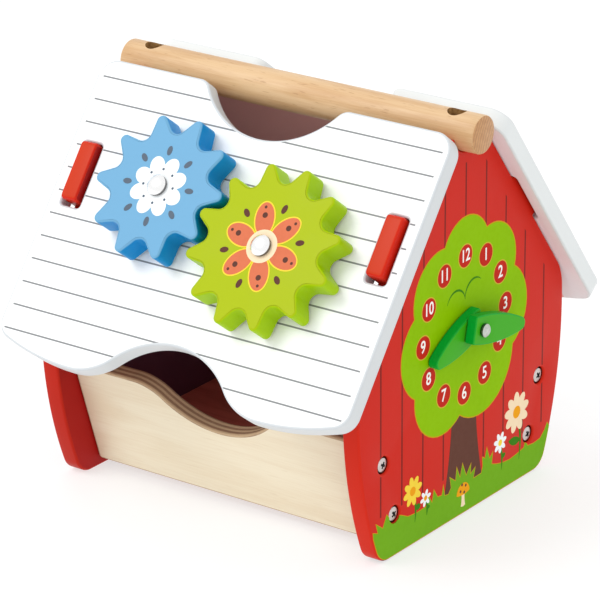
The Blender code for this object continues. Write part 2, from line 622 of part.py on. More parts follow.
def hand_outline(length):
    """Right half of a clock hand that points along +Y: blunt tail, bellied side and round tip."""
    reach = length - HAND_TIP_RADIUS - HAND_BELLY
    side_radius = ((reach ** 2 + HAND_HALF_WIDTH ** 2 - HAND_TIP_RADIUS ** 2)
                   / (2 * (HAND_HALF_WIDTH - HAND_TIP_RADIUS)))
    side_x = HAND_HALF_WIDTH - side_radius
    tail_turn = math.asin(-(HAND_TAIL + HAND_BELLY) / side_radius)
    tip_turn = math.atan2(reach, -side_x)
    side = arc(side_x, HAND_BELLY, side_radius, tail_turn, tip_turn, LONG_ARC_STEPS)
    half = [(0, -HAND_TAIL)]
    half += rounded_corner((0, -HAND_TAIL), side[0], side[1], HAND_TAIL_CORNER)
    half += side[1:-1]
    half += arc(0, length - HAND_TIP_RADIUS, HAND_TIP_RADIUS, tip_turn, QUARTER, SHORT_ARC_STEPS)
    return mirrored(half)


def add_clock(clock):
    """Both hands and their pin; the clock frame lies on the gable's face and looks outward."""
    bore = round_hole(0, 0, PIN_HOLE_RADIUS)
    base = FIT_GAP
    hands = (("hour_hand", HOUR_HAND_LENGTH, HOUR_HAND_TURN),
             ("minute_hand", MINUTE_HAND_LENGTH, MINUTE_HAND_TURN))
    for name, length, turn in hands:
        hand = moved(slab(hand_outline(length), [bore], HAND_THICKNESS, HAND_RIM), (0, 0, base))
        add_piece(name, hand, LEAF_PAINT, clock, turn=(0, 0, turn - QUARTER))
        base += HAND_THICKNESS + FIT_GAP
    pin = through_pin(CLOCK_PIN_SEAT, CLOCK_PIN_HEAD_RADIUS, PIN_SHANK_RADIUS, GABLE_THICKNESS)
    add_piece("clock_pin", pin, STEEL, clock)
    add_pin_fixings("clock", {"parent": clock}, GABLE_THICKNESS)


def build():
    """Empty the scene and set up the whole farm."""
    for obj in list(bpy.data.objects):
        bpy.data.objects.remove(obj, do_unlink=True)
    house = frame("house_frame", None, (HOUSE_X, 0, 0))
    front_roof = frame("front_roof_frame", house, (0, 0, RIDGE_HEIGHT), (ROOF_PITCH, 0, 0))
    back_roof = frame("back_roof_frame", house, (0, 0, RIDGE_HEIGHT), (ROOF_PITCH, 0, 2 * QUARTER))
    clock = frame("clock_frame", house, (HOUSE_LENGTH / 2, 0, CLOCK_HEIGHT), (QUARTER, 0, QUARTER))
    add_gable("right", house, 1, [round_hole(0, CLOCK_HEIGHT, PIN_HOLE_RADIUS)])
    add_gable("left", house, -1, [])
    add_wall("front", house, -1)
    add_wall("back", house, 1)
    add_floor(house)
    add_handle(house)
    pin_holes = [round_hole(x, y, PIN_HOLE_RADIUS) for x, y in gear_centres()]
    add_roof_panel("front", front_roof, pin_holes)
    add_roof_panel("back", back_roof, [])
    add_gear_pair(front_roof)
    add_clock(clock)


build()
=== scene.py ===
# %% [markdown]
# # A wooden activity farm
#
# The toy is a small barn with a carrying handle. Two white roof panels hang on red tenons, a pair of
# wooden gears turns on the front one, and a printed tree on the right gable is the face of a clock.
# The CAD model gives every piece its size, its place and its way of moving. This script gives the
# pieces their looks: finer edges, paint, printing, grain, screws, and a studio to see them in.
#
# ## The frame
#
# The imported CAD model comes in first.

# %% Load the frame
import math

import bmesh
import bpy
from mathutils import Euler, Matrix, Vector


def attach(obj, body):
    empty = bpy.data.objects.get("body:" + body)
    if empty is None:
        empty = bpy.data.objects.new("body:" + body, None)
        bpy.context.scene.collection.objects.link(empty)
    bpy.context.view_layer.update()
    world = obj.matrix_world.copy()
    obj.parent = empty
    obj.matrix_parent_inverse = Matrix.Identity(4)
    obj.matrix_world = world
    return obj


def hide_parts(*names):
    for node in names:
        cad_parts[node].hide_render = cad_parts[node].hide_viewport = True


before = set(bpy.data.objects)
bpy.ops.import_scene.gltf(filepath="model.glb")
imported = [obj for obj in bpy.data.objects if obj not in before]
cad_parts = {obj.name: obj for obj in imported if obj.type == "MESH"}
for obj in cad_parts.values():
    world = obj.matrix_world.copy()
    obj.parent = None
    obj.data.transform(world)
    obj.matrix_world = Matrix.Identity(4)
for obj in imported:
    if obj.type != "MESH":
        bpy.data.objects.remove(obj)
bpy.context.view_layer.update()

# %% [markdown]
# ## Sizes
#
# All lengths are in metres, and they are the CAD model's own. The boards are drawn again from them,
# with more points on every curve, because a drawing that is good enough for physics shows its facets
# in a close view.

# %% Sizes of the boards
QUARTER = math.pi / 2
HOUSE_LENGTH = 0.203
HOUSE_X = -0.00285
RIDGE_HEIGHT = 0.2289
PITCH = math.radians(52.75)
BOARD = 0.010
INNER_HALF = HOUSE_LENGTH / 2 - BOARD
GABLE_MIDDLE_X = HOUSE_LENGTH / 2 - BOARD / 2
FIT_GAP = 0.0003
BOARD_RIM = 0.0012
WALL_THICKNESS = 0.009
WALL_LEAN = math.radians(17.6)
WALL_FOOT_Y = 0.0545
HANDLE_RADIUS = 0.010
HANDLE_LENGTH = 0.2234
HANDLE_HEIGHT = RIDGE_HEIGHT - (HANDLE_RADIUS + 0.0019) / math.cos(PITCH)
CLOCK_HEIGHT = 0.1055
GEAR_CENTRES = 2 * INNER_HALF * 0.41
GEAR_LINE = math.radians(-13.2)
GREEN_CENTRE = Vector((INNER_HALF * 0.409, -0.1061))
BLUE_CENTRE = GREEN_CENTRE - GEAR_CENTRES * Vector((math.cos(GEAR_LINE), math.sin(GEAR_LINE)))
PIN_HOLE = 0.0028
GEAR_BORE = 0.0043
print(f"house {1000 * HOUSE_LENGTH:.0f} mm long, ridge {1000 * RIDGE_HEIGHT:.0f} mm up, "
      f"gear pins {1000 * GEAR_CENTRES:.1f} mm apart")

# %% [markdown]
# Each board is easiest to draw flat and then to carry to its place. These matrices are the places:
# the two roof slopes, the two gables, the two leaning walls and the clock's face.

# %% Places of the boards
HOUSE = Matrix.Translation((HOUSE_X, 0, 0))


def place(location, turn):
    """The matrix of a drawing board that stands in the house at a location, turned by three angles."""
    return HOUSE @ Matrix.Translation(location) @ Euler(turn).to_matrix().to_4x4()


FRONT_ROOF = place((0, 0, RIDGE_HEIGHT), (PITCH, 0, 0))
BACK_ROOF = place((0, 0, RIDGE_HEIGHT), (PITCH, 0, 2 * QUARTER))
RIGHT_GABLE = place((INNER_HALF, 0, 0), (QUARTER, 0, QUARTER))
LEFT_GABLE = place((-INNER_HALF, 0, 0), (QUARTER, 0, -QUARTER))
FRONT_WALL = place((0, -WALL_FOOT_Y, 0), (QUARTER + WALL_LEAN, 0, 0))
BACK_WALL = place((0, WALL_FOOT_Y, 0), (QUARTER + WALL_LEAN, 0, 2 * QUARTER))
CLOCK = place((HOUSE_LENGTH / 2, 0, CLOCK_HEIGHT), (QUARTER, 0, QUARTER))
print("front roof leans", round(math.degrees(PITCH), 2), "degrees")

# %% [markdown]
# ## Drawing outlines
#
# Every board is cut from flat stock, so its shape is one closed line. Arcs, rounded corners and the
# round dips of the walls and roofs are the words in which such lines are written.

# %% Arcs, corners and dips
ARC_STEPS = 14
LONG_STEPS = 40
CORNER_STEPS = 6


def arc(x, y, radius, start, end, steps=ARC_STEPS):
    """Points of a round stretch, both ends included."""
    turns = [start + (end - start) * i / steps for i in range(steps + 1)]
    return [(x + radius * math.cos(a), y + radius * math.sin(a)) for a in turns]


def rounded_corner(before, corner, after, radius):
    """The fillet that replaces a sharp corner."""
    corner = Vector(corner)
    way_in = (Vector(before) - corner).normalized()
    way_out = (Vector(after) - corner).normalized()
    half = way_in.angle(way_out) / 2
    centre = corner + (way_in + way_out).normalized() * radius / math.sin(half)
    first = corner + way_in * radius / math.tan(half) - centre
    last = corner + way_out * radius / math.tan(half) - centre
    start = math.atan2(first.y, first.x)
    turn = (math.atan2(last.y, last.x) - start + 2 * QUARTER) % (4 * QUARTER) - 2 * QUARTER
    return arc(centre.x, centre.y, radius, start, start + turn, CORNER_STEPS)


def rounded_polygon(corners, radius):
    """A closed line with every corner rounded alike."""
    points = []
    for i, corner in enumerate(corners):
        points += rounded_corner(corners[i - 1], corner, corners[(i + 1) % len(corners)], radius)
    return points


def mirrored(half):
    """Close a right half whose two ends lie on the middle line."""
    return half + [(-x, y) for x, y in reversed(half[1:-1])]


def swale(radius, shoulder, depth):
    """Right half of a round dip that leaves its edge over a rounded shoulder."""
    swing = math.acos(1 - depth / (radius + shoulder))
    end_x = (radius + shoulder) * math.sin(swing)
    bowl = arc(0, radius, radius, -QUARTER, swing - QUARTER, LONG_STEPS)
    return bowl + arc(end_x, depth - shoulder, shoulder, QUARTER + swing, QUARTER)[1:]


def hole(x, y, radius):
    """A round hole; it runs clockwise, because the board lies outside it."""
    return arc(x, y, radius, 4 * QUARTER, 0, LONG_STEPS)[:-1]


print("a dip of 20 mm takes", len(swale(0.05, 0.027, 0.0198)), "points for its half")

# %% [markdown]
# ## Boards with rounded rims
#
# A board is its outline lifted to the thickness, with the rims sanded round. The helper stacks copies
# of the outline, pulled in where the rim turns over, and fills the top and the underside. It also
# writes a value called rim into the mesh, which is 1 in the middle of each sanded rim and 0 on the
# flat faces, so that a material can show where paint is thin and lay painted edge light along the rim:
# a painted highlight on the red boards, a painted shade on the white ones. Faces get a material slot:
# 0 on top, 1 round the edge, 2 underneath and 3 inside a pocket, which is a counterbore that stops
# inside the board. The gables use slot 4 as well, for the tops of their tenons.

# %% The board helper
RIM_STEPS = 6


def inset(points, distance):
    """Move an outline into its board, which lies on the left as one goes along."""
    result = []
    for i, point in enumerate(points):
        here = Vector(point)
        way_in = (here - Vector(points[i - 1])).normalized()
        way_out = (Vector(points[(i + 1) % len(points)]) - here).normalized()
        left = Vector((-way_in.y - way_out.y, way_in.x + way_out.x))
        result.append(here + left * distance / (1 + way_in.dot(way_out)))
    return result


def stack(piece, wear_and_edge_light_layer, loop, levels, low_slot=1):
    """Walls over one outline; each level says how far in, how high and how much rim paint, for sanded rims
    and painted edge light.
    """
    rings = []
    for pull, height, wear_and_edge_light in levels:
        rings.append([piece.verts.new((x, y, height)) for x, y in inset(loop, pull)])
        for vert in rings[-1]:
            vert[wear_and_edge_light_layer] = wear_and_edge_light
    for step, (below, above) in enumerate(zip(rings, rings[1:])):
        for i in range(len(loop)):
            wall = piece.faces.new((below[i - 1], below[i], above[i], above[i - 1]))
            wall.material_index = 1 if step else low_slot
            wall.smooth = True
    return rings[0], rings[-1]


def edges_round(piece, ring):
    """The closed run of edges along a ring of points."""
    return [piece.edges.get((ring[i - 1], ring[i])) for i in range(len(ring))]


def board(outline, holes=(), thickness=BOARD, rim=BOARD_RIM, pockets=()):
    """A flat board from z = 0 up, as a bmesh."""
    piece = bmesh.new()
    wear_and_edge_light_layer = piece.verts.layers.float.new("rim")
    turns = [QUARTER * i / RIM_STEPS for i in range(RIM_STEPS + 1)] if rim else [QUARTER]
    low = [(rim * (1 - math.sin(a)), rim * (1 - math.cos(a)), math.sin(2 * a)) for a in turns]
    high = [(pull, thickness - height, wear_and_edge_light) for pull, height, wear_and_edge_light in reversed(low)]
    under, over = [], []
    for loop in [outline, *holes]:
        bottom, top = stack(piece, wear_and_edge_light_layer, loop, low + high)
        under += edges_round(piece, bottom)
        over += edges_round(piece, top)
    for loop, depth in pockets:
        bottom, top = stack(piece, wear_and_edge_light_layer, loop, [(0, thickness - depth, 0)] + high, 3)
        piece.faces.new(bottom).material_index = 3
        over += edges_round(piece, top)
    for edges, slot in ((over, 0), (under, 2)):
        filled = bmesh.ops.triangle_fill(piece, use_beauty=True, edges=edges)
        for part in filled["geom"]:
            if isinstance(part, bmesh.types.BMFace):
                part.material_index = slot
    return piece


trial = board(arc(0, 0, 0.02, 0, 4 * QUARTER)[:-1])
print("a round trial board has", len(trial.faces), "faces")
trial.free()

# %% [markdown]
# A finished piece is a plain mesh whose place is in its points, riding on the CAD body that carries
# it, and standing for the CAD nodes that it replaces.

# %% From bmesh to a finished piece
SHARP = math.radians(40)


def new_object(name, data):
    """An object in the scene with the data given."""
    obj = bpy.data.objects.new(name, data)
    bpy.context.scene.collection.objects.link(obj)
    return obj


def plain_mesh(obj):
    """The mesh that an object's own settings and modifiers make."""
    depsgraph = bpy.context.evaluated_depsgraph_get()
    return bpy.data.meshes.new_from_object(obj.evaluated_get(depsgraph))


def settle(name, mesh, body, nodes=()):
    """Put a mesh into the scene as a piece of the object."""
    mesh.name = name
    obj = new_object(name, mesh)
    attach(obj, body)
    if nodes:
        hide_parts(*nodes)
    print(f"{name}: {len(mesh.polygons)} faces on {body}")
    return obj


def finished(name, piece, materials, body, nodes, where):
    """Carry a bmesh to its place and settle it."""
    piece.transform(where)
    bmesh.ops.recalc_face_normals(piece, faces=piece.faces)
    mesh = bpy.data.meshes.new(name)
    piece.to_mesh(mesh)
    piece.free()
    mesh.set_sharp_from_angle(angle=SHARP)
    for material in materials:
        mesh.materials.append(material)
    return settle(name, mesh, body, nodes)


print("edges of more than", round(math.degrees(SHARP)), "degrees stay crisp")

# %% [markdown]
# ## Materials
#
# Every finish of the toy is made of the same few effects: wood grain, paint with thin sanded rims,
# printed lines and the layers of plywood. Each effect is a shader node group with named inputs, built
# once. Small helpers add a node, fill its sockets and link what is linked.

# %% Node helpers
def fill(tree, node, sockets):
    """Give each socket a value, or another node's output to link to."""
    for key, value in sockets.items():
        if isinstance(value, bpy.types.NodeSocket):
            tree.links.new(value, node.inputs[key])
        else:
            node.inputs[key].default_value = value
    return node


def add(tree, kind, sockets=None, **settings):
    """Add a node with its settings and fill its sockets."""
    made = tree.nodes.new(kind)
    for key, value in settings.items():
        setattr(made, key, value)
    return fill(tree, made, sockets or {})


def xyz(tree, x=0.0, y=0.0, z=0.0):
    """A vector from three values."""
    return add(tree, "ShaderNodeCombineXYZ", {0: x, 1: y, 2: z}).outputs[0]


def parts(tree, vector):
    """The three values of a vector."""
    return add(tree, "ShaderNodeSeparateXYZ", {0: vector}).outputs


def maths(tree, operation, *values, clamp=False):
    """A Math node's result."""
    sockets = dict(enumerate(values))
    return add(tree, "ShaderNodeMath", sockets, operation=operation, use_clamp=clamp).outputs[0]


def times(tree, first, second, clamp=False):
    """One value times another."""
    return maths(tree, "MULTIPLY", first, second, clamp=clamp)


def divided(tree, first, second, clamp=False):
    """One value divided by another."""
    return maths(tree, "DIVIDE", first, second, clamp=clamp)


def plus(tree, first, second, clamp=False):
    """The sum of two values."""
    return maths(tree, "ADD", first, second, clamp=clamp)


def minus(tree, first, second):
    """The difference of two values."""
    return maths(tree, "SUBTRACT", first, second)


def blend_colours(tree, factor, first, second, mode="MIX"):
    """A colour between two, or one laid over the other by a blend mode."""
    sockets = {0: factor, 6: first, 7: second}
    return add(tree, "ShaderNodeMix", sockets, data_type="RGBA", blend_type=mode).outputs[2]


def new_group(name, inputs, outputs):
    """An empty shader group with its sockets, and its two end nodes."""
    tree = bpy.data.node_groups.new(name, "ShaderNodeTree")
    for label, kind, value in inputs:
        socket = tree.interface.new_socket(label, in_out="INPUT", socket_type="NodeSocket" + kind)
        if value is not None:
            socket.default_value = value
    for label, kind in outputs:
        tree.interface.new_socket(label, in_out="OUTPUT", socket_type="NodeSocket" + kind)
    return tree, tree.nodes.new("NodeGroupInput").outputs, tree.nodes.new("NodeGroupOutput")


def give(tree, end, **results):
    """Link results to a group's outputs by name."""
    for label, result in results.items():
        tree.links.new(result, end.inputs[label])


def colour(red, green, blue):
    """A colour as it is seen, from 0 to 255, as the linear values that a shader takes."""
    return (*((c / 255) ** 2.2 for c in (red, green, blue)), 1)


print("a middle grey of 128 is", round(colour(128, 128, 128)[0], 3), "to a shader")

# %% [markdown]
# **Wood grain.** Wood is cut along its fibres, so its pattern is long in one direction and short in
# the others. Squeezing the coordinates along X and reading noise gives broad bands, fine fibres and
# short dark pores.

# %% Wood grain group
grain_tree, ask, end = new_group("Wood grain", [
    ("Vector", "Vector", None), ("Light", "Color", (0.8, 0.6, 0.4, 1)),
    ("Dark", "Color", (0.5, 0.3, 0.2, 1)), ("Band Size", "Float", 0.012),
    ("Stretch", "Float", 9.0), ("Pores", "Float", 0.5),
], [("Color", "Color"), ("Height", "Float"), ("Roughness", "Float")])


def squeezed(tree, vector, stretch):
    """Coordinates that make noise long along X."""
    product = {0: vector, 1: xyz(tree, divided(tree, 1.0, stretch), 1.0, 1.0)}
    return add(tree, "ShaderNodeVectorMath", product, operation="MULTIPLY").outputs[0]


def noise(tree, vector, scale, detail=3.0, roughness=0.55, distortion=0.0):
    """A noise value around one half."""
    sockets = {"Vector": vector, "Scale": scale, "Detail": detail, "Roughness": roughness,
               "Distortion": distortion}
    return add(tree, "ShaderNodeTexNoise", sockets).outputs["Fac"]


def ramp(tree, value, low, high, to_low=0.0, to_high=1.0):
    """A value carried smoothly from one range to another."""
    sockets = {0: value, 1: low, 2: high, 3: to_low, 4: to_high}
    return add(tree, "ShaderNodeMapRange", sockets, interpolation_type="SMOOTHSTEP").outputs[0]


long_vector = squeezed(grain_tree, ask["Vector"], ask["Stretch"])
hair_vector = squeezed(grain_tree, ask["Vector"], times(grain_tree, ask["Stretch"], 3.0))
band_scale = divided(grain_tree, 1.0, ask["Band Size"])
bands = noise(grain_tree, long_vector, band_scale, 2.0, distortion=0.6)
fibres = noise(grain_tree, hair_vector, times(grain_tree, band_scale, 14.0), 4.0)
pore_noise = noise(grain_tree, long_vector, times(grain_tree, band_scale, 9.0), 1.0)
pores = times(grain_tree, ramp(grain_tree, pore_noise, 0.66, 0.74), ask["Pores"])
mixed = plus(grain_tree, times(grain_tree, bands, 0.65), times(grain_tree, fibres, 0.35))
tone = blend_colours(grain_tree, ramp(grain_tree, mixed, 0.36, 0.66), ask["Light"], ask["Dark"])
pore_colour = blend_colours(grain_tree, 1.0, ask["Dark"], (0.72, 0.62, 0.52, 1), "MULTIPLY")
dark_pores = blend_colours(grain_tree, pores, tone, pore_colour)
height = minus(grain_tree, fibres, pores)
give(grain_tree, end, Color=dark_pores, Height=height,
     Roughness=ramp(grain_tree, mixed, 0.3, 0.7, 0.42, 0.55))
print("Wood grain:", len(grain_tree.nodes), "nodes")

# %% [markdown]
# ** Painted wood.** The toy's paint is satin and thin. The grain below it shows as the faintest
# relief, the colour varies a little over a board, and on the rounded rim the coat turns, in patches, to
# a rim paint that is partly a sanded look and partly painted edge light: a painted highlight on the red
# boards, a painted shade on the white ones. The rim value comes from the mesh, so the group asks for it.

# %% Painted wood group
paint_tree, ask, end = new_group("Painted wood", [
    ("Vector", "Vector", None), ("Paint", "Color", (1, 1, 1, 1)), ("Rim Paint", "Color", (1, 1, 1, 1)),
    ("Rim", "Float", 0.0), ("Variation", "Float", 0.06),
], [("Color", "Color"), ("Height", "Float"), ("Roughness", "Float")])
cloud = noise(paint_tree, ask["Vector"], 28.0, 3.0)
telegraph = noise(paint_tree, squeezed(paint_tree, ask["Vector"], 14.0), 900.0, 3.0)
skin = noise(paint_tree, ask["Vector"], 2600.0, 2.0)
swing = times(paint_tree, minus(paint_tree, cloud, 0.5), ask["Variation"])
streak = times(paint_tree, minus(paint_tree, telegraph, 0.5), times(paint_tree, ask["Variation"], 0.5))
brightness = plus(paint_tree, 1.0, plus(paint_tree, swing, streak))
shade = add(paint_tree, "ShaderNodeCombineColor", {0: brightness, 1: brightness, 2: brightness})
even = blend_colours(paint_tree, 1.0, ask["Paint"], shade.outputs[0], "MULTIPLY")
patchy = ramp(paint_tree, noise(paint_tree, ask["Vector"], 160.0, 3.0), 0.3, 0.62, 0.55, 1.0)
# painted edge light with a sanded look: where the rim value is high, in patches, the coat turns to the rim
# paint
wear_and_edge_light = times(paint_tree, ask["Rim"], patchy, clamp=True)
relief = plus(paint_tree, times(paint_tree, telegraph, 0.7), times(paint_tree, skin, 0.3))
give(paint_tree, end, Color=blend_colours(paint_tree, wear_and_edge_light, even, ask["Rim Paint"]), Height=relief,
     Roughness=ramp(paint_tree, cloud, 0.3, 0.7, 0.30, 0.42))
print("Painted wood:", len(paint_tree.nodes), "nodes")

# %% [markdown]
# **Printed lines.** The slats of the roof and the planks of the gables are thin printed lines, evenly
# spaced. The distance from a coordinate to the nearest line of the row gives them, with a soft edge.

# %% Printed lines group
lines_tree, ask, end = new_group("Printed lines", [
    ("Across", "Float", 0.0), ("First", "Float", 0.0), ("Spacing", "Float", 0.01), ("Last", "Float", 5.0),
    ("Width", "Float", 0.001),
], [("Mask", "Float")])
along = minus(lines_tree, ask["Across"], ask["First"])
nearest = maths(lines_tree, "ROUND", divided(lines_tree, along, ask["Spacing"]))
number = maths(lines_tree, "MINIMUM", maths(lines_tree, "MAXIMUM", nearest, 0.0), ask["Last"])
miss = maths(lines_tree, "ABSOLUTE", minus(lines_tree, along, times(lines_tree, number, ask["Spacing"])))
half_width = times(lines_tree, ask["Width"], 0.5)
SOFT_EDGE = 0.00012
outer = plus(lines_tree, half_width, SOFT_EDGE)
inner = minus(lines_tree, half_width, SOFT_EDGE)
give(lines_tree, end, Mask=ramp(lines_tree, miss, inner, outer, 1.0, 0.0))
print("Printed lines:", len(lines_tree.nodes), "nodes")

# %% [markdown]
# **Plywood layers.** Where a plywood board is cut through, its thin veneers show as light and dark
# stripes: end grain and long grain by turns, with a hair of glue between them.

# %% Plywood layers group
layers_tree, ask, end = new_group("Plywood layers", [
    ("Vector", "Vector", None), ("Depth", "Float", 0.0), ("Layer", "Float", 0.0013),
    ("Long Grain", "Color", (0.6, 0.45, 0.3, 1)), ("End Grain", "Color", (0.3, 0.2, 0.15, 1)),
], [("Color", "Color"), ("Height", "Float")])
wander = times(layers_tree, minus(layers_tree, noise(layers_tree, ask["Vector"], 60.0), 0.5), 0.5)
count = plus(layers_tree, divided(layers_tree, ask["Depth"], ask["Layer"]), wander)
wave = maths(layers_tree, "SINE", times(layers_tree, count, 2 * QUARTER))
fibre = noise(layers_tree, squeezed(layers_tree, ask["Vector"], 6.0), 1500.0, 3.0)
soft_wave = plus(layers_tree, ramp(layers_tree, wave, -0.5, 0.5),
                 times(layers_tree, minus(layers_tree, fibre, 0.5), 0.9), clamp=True)
give(layers_tree, end, Color=blend_colours(layers_tree, soft_wave, ask["Long Grain"], ask["End Grain"]),
     Height=soft_wave)
print("Plywood layers:", len(layers_tree.nodes), "nodes")

# %% [markdown]
# ## The finishes
#
# Each material reads the coordinates of the board it is on, by turning Object coordinates back
# through the board's own place, so that grain runs along the board and lines run across it.

# %% Material helpers
PAINT_SPECULAR = 0.1
PAINT_RELIEF, WOOD_RELIEF = 0.00003, 0.00004


def material(name):
    """A new material, its tree and its Principled shader."""
    made = bpy.data.materials.new(name)
    made.use_nodes = True
    return made, made.node_tree, made.node_tree.nodes["Principled BSDF"]


def object_vector(tree):
    """Where a point lies in the shared frame."""
    return add(tree, "ShaderNodeTexCoord").outputs["Object"]


def board_vector(tree, where, turn=0.0):
    """Object coordinates brought back to a board's own drawing, turned about Z if the grain asks."""
    whole = where @ Matrix.Rotation(turn, 4, "Z")
    sockets = {"Vector": object_vector(tree), "Location": whole.translation, "Rotation": whole.to_euler()}
    return add(tree, "ShaderNodeMapping", sockets, vector_type="TEXTURE").outputs[0]


def group(tree, source, sockets):
    """Place a shader group and hand back its outputs."""
    return add(tree, "ShaderNodeGroup", sockets, node_tree=source).outputs


def rim_value(tree):
    """How far a point is on a sanded rim, as the mesh says."""
    return add(tree, "ShaderNodeAttribute", attribute_name="rim").outputs["Fac"]


def bump(tree, height, distance):
    """A normal that follows a height, in metres."""
    return add(tree, "ShaderNodeBump", {"Height": height, "Distance": distance}).outputs[0]


def painted(name, paint, rim_paint, where, turn=0.0, pattern=None, second=None):
    """A satin painted board; pattern is a function that says where the second paint goes."""
    made, tree, shader = material(name)
    vector = board_vector(tree, where, turn)
    coat = group(tree, paint_tree, {"Vector": vector, "Paint": paint, "Rim Paint": rim_paint,
                                    "Rim": rim_value(tree)})
    base = coat["Color"]
    if pattern:
        base = blend_colours(tree, pattern(tree, board_vector(tree, where)), base, second)
    fill(tree, shader, {"Base Color": base, "Roughness": coat["Roughness"],
                        "Normal": bump(tree, coat["Height"], PAINT_RELIEF),
                        "Specular IOR Level": PAINT_SPECULAR})
    return made


print(f"grain stands {1e6 * PAINT_RELIEF:.0f} micrometres proud under paint, {1e6 * WOOD_RELIEF:.0f} bare")

# %% [markdown]
# The roof's slats are twelve lines across the slope. Holes and round cuts interrupt them by
# themselves, because the lines are only printed on the flat top, up to a margin at both ends. The
# gable's planks are upright lines that stop short of the slanting roof edge.

# %% Lines of the roof and the gables
SLAT_COUNT, SLAT_FIRST, SLAT_SPACING, SLAT_WIDTH, SLAT_REACH = 12, -0.17685, 0.0129, 0.0009, 0.1068
PLANK_COUNT, PLANK_SPACING, PLANK_WIDTH = 9, 0.01855, 0.0012
PLANK_FOOT, PLANK_TOP = 0.0257, 0.193
PLANK_PEAK, PLANK_SLOPE = 0.2133, 1.3125
LINE_END = 0.0003


def slats(tree, vector):
    """Grey slat lines, by the coordinates of a roof panel."""
    x, y, _ = parts(tree, vector)
    rows = group(tree, lines_tree, {"Across": y, "First": SLAT_FIRST, "Spacing": SLAT_SPACING,
                                    "Last": SLAT_COUNT - 1.0, "Width": SLAT_WIDTH})["Mask"]
    reach = ramp(tree, maths(tree, "ABSOLUTE", x), SLAT_REACH, SLAT_REACH + LINE_END, 1.0, 0.0)
    return times(tree, rows, reach)


def planks(tree, vector):
    """Dark plank lines, by the coordinates of a gable."""
    x, y, _ = parts(tree, vector)
    first = -(PLANK_COUNT // 2) * PLANK_SPACING
    rows = group(tree, lines_tree, {"Across": x, "First": first, "Spacing": PLANK_SPACING,
                                    "Last": PLANK_COUNT - 1.0, "Width": PLANK_WIDTH})["Mask"]
    eaves = minus(tree, PLANK_PEAK, times(tree, maths(tree, "ABSOLUTE", x), PLANK_SLOPE))
    top = maths(tree, "MINIMUM", eaves, PLANK_TOP)
    below_top = ramp(tree, minus(tree, top, y), 0.0, LINE_END)
    above_foot = ramp(tree, y, PLANK_FOOT, PLANK_FOOT + LINE_END)
    return times(tree, rows, times(tree, below_top, above_foot))


print(SLAT_COUNT, "slat lines on a roof panel,", PLANK_COUNT, "plank lines on a gable")

# %% [markdown]
# More masks tell where a board wears a second paint, and each of them is painted shade: a gable's edge
# is darkened brown at the ground, standing for the shade under its foot, and the left gable's edge is
# darker low down; its inner face is darker where walls and roof shut it in; and the roof's underside
# takes a pink-brown between the gables, a painted shade with a painted reflection of the red gables.

# %% Where the second paint goes
def fading_up(start, end, strength):
    """A mask that is strong below one height of a gable and gone above another."""
    return lambda tree, vector: ramp(tree, parts(tree, vector)[1], start, end, strength, 0.0)


# painted shade: the gable edge's lowest rim turns dark brown, standing for the shade under its foot
painted_foot_shade = fading_up(0.0012, 0.0024, 0.9)
# painted shade: the left gable's edge is darker low down, fading out between 4 and 10 cm up, where less
# light falls
painted_low_shade = fading_up(0.04, 0.10, 1.0)


def between_walls(tree, vector):
    """The part of a gable's inner face that the leaning walls and the roof shut in."""
    x, y, _ = parts(tree, vector)
    aside = maths(tree, "ABSOLUTE", x)
    wall = plus(tree, WALL_FOOT_Y, times(tree, y, math.tan(WALL_LEAN)))
    roof = minus(tree, RIDGE_HEIGHT, times(tree, aside, math.tan(PITCH)))
    room = maths(tree, "MINIMUM", minus(tree, wall, aside), minus(tree, roof, y))
    # painted shade: where this mask is 1 the inner face takes a dark plum, standing for the shade inside
    # the house
    return ramp(tree, room, 0.0, 0.001)


def between_gables(tree, vector):
    """The part of a roof's underside that the house shuts in."""
    aside = maths(tree, "ABSOLUTE", parts(tree, vector)[0])
    # painted shade: between the gables the underside takes a pink-brown, for the shade inside the house and
    # red light reflected from the gables
    return ramp(tree, aside, INNER_HALF - 0.001, INNER_HALF, 1.0, 0.0)


print("walls lean", round(math.degrees(WALL_LEAN), 1), "degrees outwards")

# %% [markdown]
# A gable wears five finishes: planks on its face, paint on its edge, a darker inner face that is painted
# shade, screw pockets in a near-black red that is painted shade, and a lighter paint on the flat tops of
# its tenons, a painted highlight where light falls on them squarely. A roof panel wears three.

# %% The painted finishes
RED = colour(202, 37, 21)
# painted highlight with a sanded look: the red boards' rim paint, a touch lighter than their red
RED_RIM_WEAR_AND_HIGHLIGHT = colour(205, 44, 27)
WHITE = colour(250, 251, 251)


def red_gable(name, where, low, low_paint):
    """Face, edge, inner face, pockets and tenons of one gable; low says where its edge takes painted shade.
    """
    face = painted(name + "_face", RED, RED_RIM_WEAR_AND_HIGHLIGHT, where, QUARTER, planks, colour(118, 24, 10))
    # painted highlight: the edge paint is a touch lighter and more orange than the face's red
    edge = painted(name + "_edge", colour(204, 44, 26), RED_RIM_WEAR_AND_HIGHLIGHT, where, 0.0, low, low_paint)
    # painted shade: the inner face is a darker red than the outside, and dark plum where walls and roof
    # shut it in
    inside = painted(name + "_inside", colour(166, 30, 27), RED, where, QUARTER, between_walls,
                     colour(92, 58, 74))
    # painted shade: the pockets' walls and floors are a near-black red, standing for the shade in the
    # counterbores
    pocket = painted(name + "_pocket", colour(92, 20, 14), RED, where)
    # painted highlight: the tenons' flat tops are a lighter, more orange red, for the light that falls on
    # them squarely
    tenon = painted(name + "_tenon", colour(197, 60, 35), RED_RIM_WEAR_AND_HIGHLIGHT, where)
    return [face, edge, inside, pocket, tenon]


